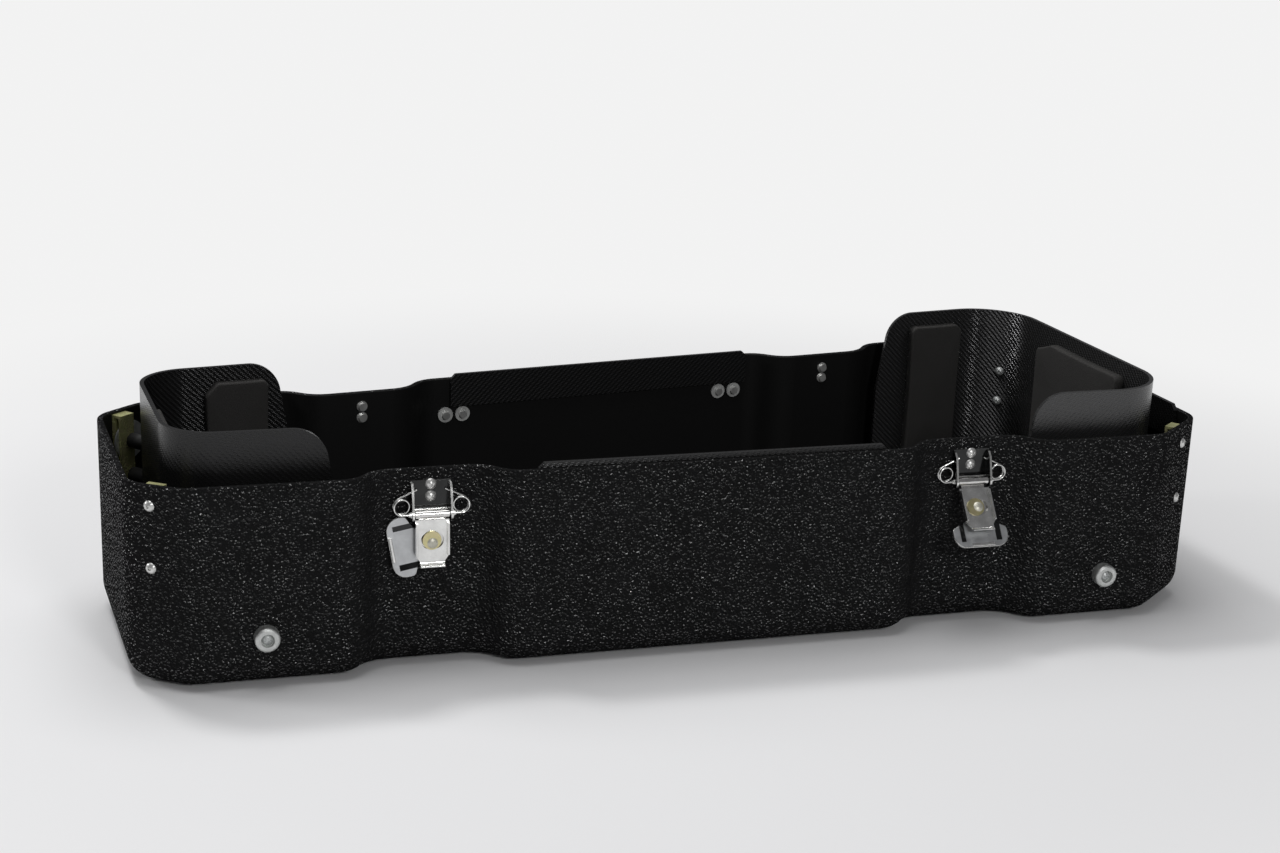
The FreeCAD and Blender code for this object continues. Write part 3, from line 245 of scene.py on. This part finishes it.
# low domes with glossy upper faces, so that each pebble catches the light from above
def pebbledPlastic():
    finish, board = newFinish("pebbledPlastic")
    where = place(board)
    stray = board.make("ShaderNodeTexNoise", None, {
        "Vector": where, "Scale": tub["wanderScale"], "Detail": tub["wanderDetail"]}, 1)
    bent = vectors(board, "ADD", where, scaled(board, stray, tub["wander"]))
    lower = vectors(board, "ADD", bent, (0.0, 0.0, -tub["lean"]))
    dome = 1.0 - cells(board, bent, tub["pebbleScale"]).ease(*tub["pebbleSpan"])
    below = 1.0 - cells(board, lower, tub["pebbleScale"]).ease(*tub["pebbleSpan"])
    looksUp = (below - dome).ease(*tub["upRange"])
    fine = noise(board, where, tub["fineScale"])
    wide = noise(board, where, tub["wideScale"])
    gloss = noise(board, where, tub["glossScale"], tub["glossDetail"]).ease(*tub["glossRange"])
    # colour: random wide tone, plus painted shade that lightens each pebble's top and darkens the hollows
    # between pebbles
    shade = (wide * tub["wideShare"] + dome * tub["pebblePaintedShadeShare"]).blend(
        grey(tub["base"] * tub["low"]), grey(tub["base"] * tub["high"], tub["highTint"]))
    height = dome + fine * tub["fineBump"] + wide * tub["wideBump"]
    bumps = relief(board, height, tub["pebbleDepth"])
    close(board, {
        "Base Color": shade,
        "Roughness": tub["rough"] + fine * tub["fineRough"],
        "Normal": bumps,
        "Specular IOR Level": 0.0,
        "Coat Weight": looksUp * gloss,
        "Coat Roughness": tub["coatRough"],
        "Coat IOR": tub["coatIndex"],
        "Coat Normal": bumps})
    return finish


pebbled = pebbledPlastic()
smooth = grainedFinish("smoothPlastic", tubInside)
dressBothSides("base_shell", smooth, pebbled, tub["axisHeight"], tub["axisReach"])
print("tub dressed")


# carbon sheet: two-by-two twill that runs round the bend of each cradle
twill = {
    "tow": 0.00108,             # width of one tow
    "repeat": 4.0, "onTop": 2.0,    # a level tow lies on top for two steps in four
    "round": 2.2,               # tilt of a tow's back from one edge to the other
    "uprightRound": 0.5,        # the upright tows' share of it
    "bright": 0.052,            # shade of the level tows, lightened by a painted sheen
    "dark": 0.026,              # painted shade of the upright tows where the weave stands out in full
    "levelSheenTint": (1.0, 1.0, 1.02),
    "streakScale": 2600.0, "streakDetail": 1.0,
    "driftScale": 22.0,
    # shares of the level tows' painted sheen, of random streaks and of slow drift in the sheet's tone
    "levelSheenShare": 0.80, "streakShare": 0.12, "driftShare": 0.14,
    "metallic": 0.85, "specular": 0.2,
    "rough": 0.20, "streakRough": 0.08, "uprightRough": 0.10,
}


# length run off round a cradle's plan: along a wing, round its corner and across its end
def wrapLength(board, x, y, bend):
    deep = bend["sign"] * x - bend["centreX"]
    wide = abs(y) - bend["centreY"]
    onEnd = wide < 0.0
    onWing = deep < 0.0
    corner = bend["radius"] * board.calc("ARCTAN2", wide, deep)
    wing = bend["radius"] * math.pi / 2 - deep
    rounded = (1.0 - onWing) * corner + onWing * wing
    half = onEnd * wide + (1.0 - onEnd) * rounded
    return (half + bend["centreY"]) * board.calc("SIGN", y)


# level tows lie over upright ones for two steps in four; "lean" is the way the ribs climb. Each tow's
# back is round, so the surface tips up and down across a level tow, and sideways across an upright one.
# "bold" is how far the weave stands out, both in the tilt of the tows and in the painted sheen that makes
# level tows lighter than upright ones; "lift" is painted light that makes the whole sheet lighter or darker
def carbonTwill(name, lean, run, bold, lift):
    finish, board = newFinish(name)
    where = place(board)
    x, y, z = axes(board, where)
    first = run(board, x, y) / twill["tow"]
    second = z / twill["tow"]
    step = (board.calc("FLOOR", first) + lean * board.calc("FLOOR", second)) % twill["repeat"]
    level = step < twill["onTop"]
    upright = 1.0 - level
    acrossFirst = first % 1.0 - 0.5
    acrossSecond = second % 1.0 - 0.5
    tilt = twill["round"] * bold
    facing = board.make("ShaderNodeNewGeometry", out="Normal")
    sideways = vectors(board, "CROSS_PRODUCT", (0.0, 0.0, 1.0), facing)
    tip = board.make("ShaderNodeCombineXYZ", None, {2: level * acrossSecond * tilt})
    roll = scaled(board, sideways, upright * acrossFirst * (tilt * twill["uprightRound"]))
    tilted = vectors(board, "NORMALIZE", vectors(board, "ADD", vectors(board, "ADD", facing, tip), roll))
    streak = noise(board, where, twill["streakScale"], twill["streakDetail"])
    drift = noise(board, where, twill["driftScale"])
    # tone mixes the level tows' painted sheen with random streaks and drift
    tone = level * twill["levelSheenShare"] + streak * twill["streakShare"] + drift * twill["driftShare"]
    # upright tows are painted darker than level ones; bold scales this painted sheen contrast
    dark = twill["bright"] + (twill["dark"] - twill["bright"]) * bold
    close(board, {
        "Base Color": tone.blend(grey(dark * lift), grey(twill["bright"] * lift, twill["levelSheenTint"])),
        "Metallic": twill["metallic"],
        "Roughness": twill["rough"] + streak * twill["streakRough"] + upright * twill["uprightRough"],
        "Normal": tilted,
        "Specular IOR Level": twill["specular"]})
    return finish


# plan of each cradle's rounded corners, on the middle of its sheet, and the line that tells its inside
bends = {
    "scroll": {"sign": -1.0, "centreX": 0.336, "centreY": 0.0446, "radius": 0.0345},
    "body": {"sign": 1.0, "centreX": 0.323, "centreY": 0.0804, "radius": 0.0455},
}
cradleAxis = {"height": 0.095, "scroll": 0.30, "body": 0.28}


def roundScroll(board, x, y):
    return wrapLength(board, x, y, bends["scroll"])


def roundBody(board, x, y):
    return wrapLength(board, x, y, bends["body"])


def alongSide(board, x, y):
    return x


def alongEnd(board, x, y):
    return y


# each sheet's lift is painted light: the same carbon is made lighter or darker per cradle and per side,
# standing in for the light that falls there
scrollInside = carbonTwill("scrollTwillInside", 1.0, roundScroll, bold=0.7, lift=0.85)
scrollOutside = carbonTwill("scrollTwillOutside", -1.0, roundScroll, bold=0.22, lift=0.80)
bodyInside = carbonTwill("bodyTwillInside", -1.0, roundBody, bold=1.0, lift=1.9)
bodyOutside = carbonTwill("bodyTwillOutside", -1.0, roundBody, bold=0.22, lift=1.65)
sideTwill = carbonTwill("sideTwill", -1.0, alongSide, bold=0.6, lift=1.0)
endTwill = carbonTwill("endTwill", -1.0, alongEnd, bold=0.6, lift=1.0)
dressBothSides("scroll_cradle", scrollInside, scrollOutside, cradleAxis["height"], cradleAxis["scroll"])
dressBothSides("body_cradle", bodyInside, bodyOutside, cradleAxis["height"], cradleAxis["body"])
dress(sideTwill, "front_tongue", "rear_tongue")
dress(endTwill, "end_tongue")
print("carbon sheet dressed")


# plated and bare metals: scuffed plating whose gloss wanders
plating = {
    "fineScale": 900.0, "cloudScale": 130.0, "detail": 3.0, "mix": 0.6,
    "brushScale": (900.0, 900.0, 70.0), "brushRough": 0.3, "brushDepth": 3.0,
    "scratchRange": (0.30, 0.42), "scratchShare": 0.3,
    "cloudRange": (0.3, 0.7), "cloudShare": 0.7,
    "low": 0.84, "high": 1.08,
    "stainScale": 240.0, "stainRange": (0.42, 0.62), "stainTint": (1.0, 0.86, 0.55),
    "depth": 0.000025, "strength": 0.5,
}


# "scuff" is how far the gloss wanders, "brushed" how deep the brush lines are, "stain" the yellow tarnish
def platedMetal(name, base, tint, rough, scuff, metallic=1.0, brushed=0.0, stain=0.0):
    finish, board = newFinish(name)
    where = place(board)
    fine = noise(board, where, plating["fineScale"], plating["detail"], plating["mix"])
    cloud = noise(board, where, plating["cloudScale"], plating["detail"], plating["mix"])
    stretched = board.make("ShaderNodeMapping", None, {"Vector": where, "Scale": plating["brushScale"]})
    lines = noise(board, stretched, 1.0)
    scratch = (fine * cloud).ease(*plating["scratchRange"])
    worn = cloud.ease(*plating["cloudRange"]) * plating["cloudShare"] + scratch * plating["scratchShare"]
    shade = worn.blend(grey(base * plating["low"], tint), grey(base * plating["high"], tint))
    if stain > 0.0:
        spots = noise(board, where, plating["stainScale"]).ease(*plating["stainRange"])
        shade = (spots * stain).blend(shade, grey(base, plating["stainTint"]))
    close(board, {
        "Base Color": shade,
        "Metallic": metallic,
        "Roughness": rough + scuff * cloud + brushed * plating["brushRough"] * lines,
        "Normal": relief(board, fine + brushed * plating["brushDepth"] * lines,
                         plating["depth"], plating["strength"])})
    return finish


# broad faces of the latches differ from their narrow edges and from the sloping sides of a wing's panel; the
# narrow edges carry a painted highlight, the wing's slopes a painted shade
latchFaces = {
    "leastBroad": 0.00009,      # flat regions over this many square metres count as broad
    "slope": (4.0, 25.0),       # degrees from the broadest face
    "normalDigits": 2, "offsetDigits": 4,
}


# area of the flat region each face belongs to, and its lean from the node's broadest face
def flatRegions(mesh):
    centre, normal, area = faceTable(mesh)
    offset = np.sum(centre * normal, axis=1)
    keys = np.column_stack([np.round(normal, latchFaces["normalDigits"]),
                            np.round(offset, latchFaces["offsetDigits"])])
    found, region = np.unique(keys, axis=0, return_inverse=True)
    region = region.reshape(-1)
    total = np.bincount(region, weights=area)
    broadest = found[np.argmax(total), :3]
    lean = np.degrees(np.arccos(np.clip(np.abs(normal @ broadest), 0.0, 1.0)))
    return total[region], lean


def dressByFace(name, broad, narrow, sloping):
    area, lean = flatRegions(nodes[name].data)
    least, steepest = latchFaces["slope"]
    slopes = (lean > least) & (lean < steepest)
    index = np.where(slopes, 2, np.where(area > latchFaces["leastBroad"], 0, 1))
    dressFaces(name, (broad, narrow, sloping), index)


metals = {
    # the base plates' broad faces are painted near black: a painted reflection of a dark room in front of
    # them
    "plate": platedMetal("paintedDarkReflectionPlate", 0.045, (0.98, 1.0, 1.0), rough=0.08, scuff=0.10),
    # narrow edges and the base plates' sloping faces are painted bright: a painted highlight where edges
    # catch the light
    "edge": platedMetal("paintedHighlightEdge", 0.80, (1.0, 1.0, 0.98), rough=0.18, scuff=0.12),
    "hook": platedMetal("whitePlate", 0.82, (1.0, 1.0, 0.98), rough=0.14, scuff=0.16),
    "wing": platedMetal("castZinc", 0.56, (0.98, 1.0, 1.02), rough=0.24, scuff=0.24),
    # the sloping sides of a wing's panel are painted near black: painted shade on the step
    "slope": platedMetal("paintedShadeSlope", 0.05, (0.98, 1.0, 1.02), rough=0.10, scuff=0.12),
    "roll": platedMetal("rolledPlate", 0.74, (1.0, 0.99, 0.97), rough=0.12, scuff=0.12),
    "wire": platedMetal("springWire", 0.76, (1.0, 1.0, 0.98), rough=0.16, scuff=0.10),
    "rivet": platedMetal("rivetMetal", 0.74, (1.0, 1.0, 0.98), rough=0.26, scuff=0.16, metallic=0.75),
    "zinc": platedMetal("zincHardware", 0.62, (0.97, 1.0, 0.99), rough=0.34, scuff=0.2, metallic=0.65),
    "washer": platedMetal("dullZinc", 0.66, (0.99, 1.0, 0.98), rough=0.42, scuff=0.2, metallic=0.45),
    "foot": platedMetal("satinZinc", 0.66, (0.98, 1.0, 0.98), rough=0.30, scuff=0.14,
                        metallic=0.9, brushed=0.5),
    "cam": platedMetal("yellowZinc", 0.66, (1.0, 0.92, 0.50), rough=0.22, scuff=0.18, stain=0.5),
    "camRivet": platedMetal("paleZinc", 0.62, (1.0, 0.98, 0.84), rough=0.34, scuff=0.18, metallic=0.7),
    "bracket": platedMetal("oliveZinc", 0.72, (0.98, 1.0, 0.46), rough=0.16, scuff=0.2,
                           metallic=0.6, stain=0.4),
}
latchNames = ["front_left", "front_right", "rear_left", "rear_right"]
for latch in latchNames:
    dressByFace(latch + "_latch_base", metals["plate"], metals["edge"], metals["edge"])
    dressByFace(latch + "_latch_hook", metals["hook"], metals["edge"], metals["hook"])
    dressByFace(latch + "_latch_wing", metals["wing"], metals["edge"], metals["slope"])
    dress(metals["roll"], latch + "_latch_link")
    dress(metals["cam"], latch + "_latch_cam")
    dress(metals["camRivet"], latch + "_latch_cam_rivet")
    dress(metals["bracket"], latch + "_bracket")
dress(metals["wire"], "latch_springs", "latch_pins")
dress(metals["rivet"], "latch_rivets", "bracket_rivets", "handle_rivets")
dress(metals["zinc"], "cradle_screws", "cradle_nuts", "mount_washers", "foot_screws", "foot_nuts")
dress(metals["washer"], "handle_washers")
dress(metals["foot"], "feet")
print("metal dressed")


# rubber bobbins, and the handle's painted steel and moulded grip
bobbinRubber = {
    "grainScale": 1500.0, "grainDetail": 3.0, "grainMix": 0.6, "driftScale": 80.0,
    "shades": (0.0096, 0.015),
    "rough": 0.62, "roughSpread": 0.16, "depth": 0.00008, "strength": 0.6,
    "sockets": {"Specular IOR Level": 0.35},
}
paint = {
    "grainScale": 420.0, "grainDetail": 2.0, "grainMix": 0.5, "driftScale": 40.0,
    "shades": (0.009, 0.015),
    "rough": 0.34, "roughSpread": 0.12, "depth": 0.00006, "strength": 0.6,
    "sockets": {"Coat Weight": 0.2, "Coat Roughness": 0.2},
}
grip = {
    "ribs": 1100.0,             # radians of rib in a metre
    "middle": -0.0065,
    "ribEnds": (0.046, 0.05),   # the ribs fade out this far from the middle
    "ribShare": 0.5,
    "grainScale": 1300.0, "grainShare": 0.1,
    "shades": (0.010, 0.017),
    "rough": 0.55, "roughSpread": 0.14, "depth": 0.0007, "strength": 0.9, "specular": 0.35,
}


# fine ribs run round the grip's barrel, left plain near its ends
def ribbedGrip():
    finish, board = newFinish("ribbedGrip")
    where = place(board)
    x = axes(board, where)[0]
    ribs = board.calc("SINE", x * grip["ribs"])
    ribbed = 1.0 - abs(x - grip["middle"]).ease(*grip["ribEnds"])
    grain = noise(board, where, grip["grainScale"])
    height = ribbed * ribs * grip["ribShare"] + grain * grip["grainShare"]
    close(board, {
        "Base Color": grain.blend(grey(grip["shades"][0]), grey(grip["shades"][1])),
        "Roughness": grip["rough"] + grain * grip["roughSpread"],
        "Normal": relief(board, height, grip["depth"], grip["strength"]),
        "Specular IOR Level": grip["specular"]})
    return finish


dress(grainedFinish("bobbinRubber", bobbinRubber), "scroll_bobbins", "body_bobbins")
dress(grainedFinish("paintedSteel", paint), "handle_bracket_left", "handle_bracket_right", "handle_bail")
dress(ribbedGrip(), "handle_grip")
print("rubber and handle dressed")


# foam pads: cut from sheet foam, glued to the cradles
foam = {
    "taper": 0.065,             # how fast the case widens
    "middleHalf": 0.127,
    "halfLength": 0.400,
    "low": 0.040, "high": 0.163,
    "thick": 0.009, "crown": 0.0014, "drawnIn": 0.0008,
    "corner": 0.005,
    "edge": 0.0016,             # rounding of the front edge
    "sidePoints": 40, "arcPoints": 9, "edgePoints": 6, "rings": 12,
    "bubbleScale": 1500.0, "grainScale": 2200.0, "driftScale": 26.0, "driftDetail": 3.0,
    "driftShare": 0.7, "grainShare": 0.3, "grainBump": 0.5,
    "shades": (0.024, 0.042), "tints": ((1.0, 0.97, 0.94), (1.0, 0.96, 0.93)),
    "rough": 0.82, "roughSpread": 0.1, "depth": 0.00018, "strength": 0.7, "specular": 0.25,
    "pads": {
        # wall, place along it, inset, width, and the cut corner's width (its sign tells the side) and height
        "scroll_front_pad": ("front", -0.301, 0.0276, 0.0461, -0.009, 0.009),
        "scroll_rear_pad": ("rear", 0.301, 0.0276, 0.0461, 0.009, 0.009),
        "scroll_end_pad": ("left", 0.0, 0.0311, 0.0804, -0.022, 0.008),
        "body_front_pad": ("front", 0.295, 0.0236, 0.0481, 0.005, 0.005),
        "body_rear_pad": ("rear", -0.295, 0.0236, 0.0481, -0.005, 0.005),
        "body_end_pad": ("right", 0.0, 0.0331, 0.1200, 0.022, 0.008),
    },
}


def foamFinish():
    finish, board = newFinish("blackFoam")
    where = place(board)
    bubble = cells(board, where, foam["bubbleScale"])
    grain = noise(board, where, foam["grainScale"])
    drift = noise(board, where, foam["driftScale"], foam["driftDetail"])
    tone = drift * foam["driftShare"] + grain * foam["grainShare"]
    dark, light = [grey(shade, tint) for shade, tint in zip(foam["shades"], foam["tints"])]
    close(board, {
        "Base Color": tone.blend(dark, light),
        "Roughness": foam["rough"] + grain * foam["roughSpread"],
        "Normal": relief(board, bubble + grain * foam["grainBump"], foam["depth"], foam["strength"]),
        "Specular IOR Level": foam["specular"]})
    return finish


# outline of a pad moved inwards: straight sides that dip at their middles, joined by arcs that touch them
def padOutline(width, cutWidth, cutHeight, inset):
    half = width / 2
    low, high = foam["low"], foam["high"]
    if cutWidth > 0:
        upper = [(half, high - cutHeight), (half - cutWidth, high), (-half, high)]
    else:
        upper = [(half, high), (-half - cutWidth, high), (-half, high - cutHeight)]
    sharp = np.array([(-half, low), (half, low)] + upper)
    after = np.roll(sharp, -1, axis=0) - sharp
    length = np.linalg.norm(after, axis=1)
    along = after / length[:, None]
    inward = np.stack([-along[:, 1], along[:, 0]], axis=1)
    before = np.roll(along, 1, axis=0)
    turn = np.arccos(np.clip(np.sum(before * along, axis=1), -1, 1))
    reach = foam["corner"] * np.tan(turn / 2)
    start = sharp + along * reach[:, None]                       # first point of each straight side
    end = np.roll(sharp - before * reach[:, None], -1, axis=0)   # its last point
    share = np.linspace(0.0, 1.0, foam["sidePoints"])
    dip = foam["drawnIn"] * (length / (high - low))[:, None] * 4 * share * (1 - share)
    sides = start[:, None] + (end - start)[:, None] * share[None, :, None]
    sides = sides + inward[:, None] * (dip + inset)[:, :, None]
    arcCentre = np.roll(start + inward * foam["corner"], -1, axis=0)
    radius = foam["corner"] - inset
    sweep = np.linspace(0.0, 1.0, foam["arcPoints"])[1:-1]
    heading = np.arctan2(-inward[:, 1], -inward[:, 0])
    angle = heading[:, None] + np.roll(turn, -1)[:, None] * sweep[None]
    arcs = arcCentre[:, None] + radius * np.stack([np.cos(angle), np.sin(angle)], axis=2)
    return np.concatenate([sides, arcs], axis=1).reshape(-1, 2)


# pad surface: rings of the outline climb the side, round the edge by a quarter circle, and close on the
# crowned face
def padSurface(width, cutWidth, cutHeight):
    edge, thick = foam["edge"], foam["thick"] - foam["crown"]
    bend = np.linspace(0.0, math.pi / 2, foam["edgePoints"])
    insets = np.concatenate([[0.0], edge * (1 - np.cos(bend))])
    lifts = np.concatenate([[0.0], thick - edge + edge * np.sin(bend)])
    rings = []
    for inset, lift in zip(insets, lifts):
        ring = padOutline(width, cutWidth, cutHeight, inset)
        rings.append(np.column_stack([ring[:, 0], np.full(len(ring), lift), ring[:, 1]]))
    rim = rings[-1]
    centre = rim.mean(axis=0)
    for share in np.linspace(1.0, 0.0, foam["rings"] + 1)[1:-1]:
        ring = centre + (rim - centre) * share
        ring[:, 1] = thick + foam["crown"] * (1 - share * share)
        rings.append(ring)
    top = [centre[0], thick + foam["crown"], centre[2]]
    back = [centre[0], 0.0, centre[2]]
    points = np.concatenate(rings + [[top, back]])
    count = len(rim)
    base = np.arange(count)
    follow = np.roll(base, -1)
    strip = np.column_stack([base, follow, follow + count, base + count])
    quads = np.concatenate([strip + ring * count for ring in range(len(rings) - 1)])
    topIndex = len(points) - 2
    last = (len(rings) - 1) * count
    caps = np.concatenate([np.column_stack([base + last, follow + last, np.full(count, topIndex)]),
                           np.column_stack([follow, base, np.full(count, topIndex + 1)])])
    return points, quads, caps


# carries a pad from its own plane to the wall it hangs on
def padPlace(points, wall, along, inset):
    slope = math.atan(foam["taper"])
    stretch = math.hypot(1.0, foam["taper"])
    turns = {"front": -slope, "rear": math.pi + slope, "left": -math.pi / 2, "right": math.pi / 2}
    origins = {"front": (0.0, -foam["middleHalf"]), "rear": (0.0, foam["middleHalf"]),
               "left": (-foam["halfLength"], 0.0), "right": (foam["halfLength"], 0.0)}
    turn = turns[wall]
    right = np.array([math.cos(turn), math.sin(turn)])
    inward = np.array([-right[1], right[0]])
    flat = np.array(origins[wall]) + (points[:, :1] + along * stretch) * right
    flat = flat + (points[:, 1:2] + inset) * inward
    return np.column_stack([flat, points[:, 2]])


def surface(name, points, quads, caps, finish):
    mesh = bpy.data.meshes.new(name)
    mesh.from_pydata(points.tolist(), [], quads.tolist() + caps.tolist())
    mesh.validate()
    mesh.update()
    mesh.materials.append(finish)
    mesh.polygons.foreach_set("use_smooth", np.ones(len(mesh.polygons), bool))
    piece = bpy.data.objects.new(name, mesh)
    bpy.context.scene.collection.objects.link(piece)
    return piece


foamBlack = foamFinish()
for node, (wall, along, inset, width, cutWidth, cutHeight) in foam["pads"].items():
    points, quads, caps = padSurface(width, cutWidth, cutHeight)
    piece = surface("foam_" + node, padPlace(points, wall, along, inset), quads, caps, foamBlack)
    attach(piece, "case")
    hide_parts(node)
print("foam pads made:", len(foam["pads"]))


# stage: floor, light and camera
stage = {
    "floorReach": 30.0,
    "floorDrop": 0.0005,
    "floorShade": 0.82, "floorTint": (1.0, 1.0, 1.01), "floorRough": 0.9, "floorSpecular": 0.1,
    "farShade": 0.89,
    "nearFloor": 0.40,          # out to here the floor is lit and takes the shadow
    "farFloor": 1.0,            # from here it is a plain pale shade
    "worldStrength": 0.15, "worldTint": (1.0, 1.0, 1.02),
    "lens": 59.61, "sensor": 36.0, "clipEnd": 100.0,
    "eye": (-0.55090, -1.41706, 0.59461),
    "yaw": 0.3636, "pitch": 0.2967, "roll": 0.039,
    "lamps": {
        # place, target, size and power
        "overhead": ((-0.2, 0.2, 2.4), (0.0, 0.0, 0.1), (2.4, 1.6), 30.0),
        "leftSide": ((-2.3, 0.9, 1.2), (0.0, 0.0, 0.1), (0.5, 0.5), 11.0),
        "leftRear": ((-0.9, 1.15, 2.65), (0.2, 0.0, 0.1), (0.45, 0.45), 24.0),
        "front": ((0.1, -2.4, 1.3), (0.1, 0.0, 0.1), (0.45, 0.45), 15.0),
    },
}


def paleFloor():
    finish, board = newFinish("paleFloor")
    lit = board.make("ShaderNodeBsdfPrincipled", None, {
        "Base Color": grey(stage["floorShade"], stage["floorTint"]),
        "Roughness": stage["floorRough"], "Specular IOR Level": stage["floorSpecular"]})
    plain = board.make("ShaderNodeEmission", None, {"Color": grey(stage["farShade"]), "Strength": 1.0})
    x, y = axes(board, place(board))[:2]
    away = ((x * x + y * y) ** 0.5).ease(stage["nearFloor"], stage["farFloor"])
    seen = [board.make("ShaderNodeLightPath", out=ray)
            for ray in ("Is Camera Ray", "Is Glossy Ray", "Is Transmission Ray")]
    straight = board.calc("MINIMUM", seen[0] + seen[1] + seen[2], 1.0)
    mixed = board.make("ShaderNodeMixShader", None, {0: away * straight, 1: lit, 2: plain})
    board.make("ShaderNodeOutputMaterial", None, {"Surface": mixed})
    return finish


reach, low = stage["floorReach"], -stage["floorDrop"]
corners = np.array([[-reach, -reach, low], [reach, -reach, low], [reach, reach, low], [-reach, reach, low]])
floor = surface("floor", corners, np.array([[0, 1, 2, 3]]), np.empty((0, 3), int), paleFloor())

world = bpy.data.worlds.new("studio")
world.use_nodes = True
sky = world.node_tree.nodes["Background"]
sky.inputs["Color"].default_value = grey(1.0, stage["worldTint"])
sky.inputs["Strength"].default_value = stage["worldStrength"]
bpy.context.scene.world = world


# a soft panel light at a place, facing a target
def softPanel(name, spot, target, size, power):
    light = bpy.data.lights.new(name, "AREA")
    light.shape = "RECTANGLE"
    light.size, light.size_y = size
    light.energy = power
    lamp = bpy.data.objects.new(name, light)
    bpy.context.scene.collection.objects.link(lamp)
    lamp.rotation_euler = (Vector(target) - Vector(spot)).to_track_quat("-Z", "Y").to_euler()
    lamp.location = spot


for name, (spot, target, size, power) in stage["lamps"].items():
    softPanel(name, spot, target, size, power)

yaw, pitch, roll = stage["yaw"], stage["pitch"], stage["roll"]
forward = Vector((math.sin(yaw) * math.cos(pitch), math.cos(yaw) * math.cos(pitch), -math.sin(pitch)))
level = Vector((math.cos(yaw), -math.sin(yaw), 0.0))
upright = level.cross(forward)
right = math.cos(roll) * level + math.sin(roll) * upright
up = -math.sin(roll) * level + math.cos(roll) * upright
lens = bpy.data.cameras.new("camera")
lens.lens = stage["lens"]
lens.sensor_width = stage["sensor"]
lens.clip_end = stage["clipEnd"]
camera = bpy.data.objects.new("camera", lens)
camera.matrix_world = Matrix((
    (right.x, up.x, -forward.x, stage["eye"][0]),
    (right.y, up.y, -forward.y, stage["eye"][1]),
    (right.z, up.z, -forward.z, stage["eye"][2]),
    (0.0, 0.0, 0.0, 1.0)))
bpy.context.scene.collection.objects.link(camera)
bpy.context.scene.camera = camera
bpy.context.scene.view_settings.view_transform = "Standard"
print("stage set")
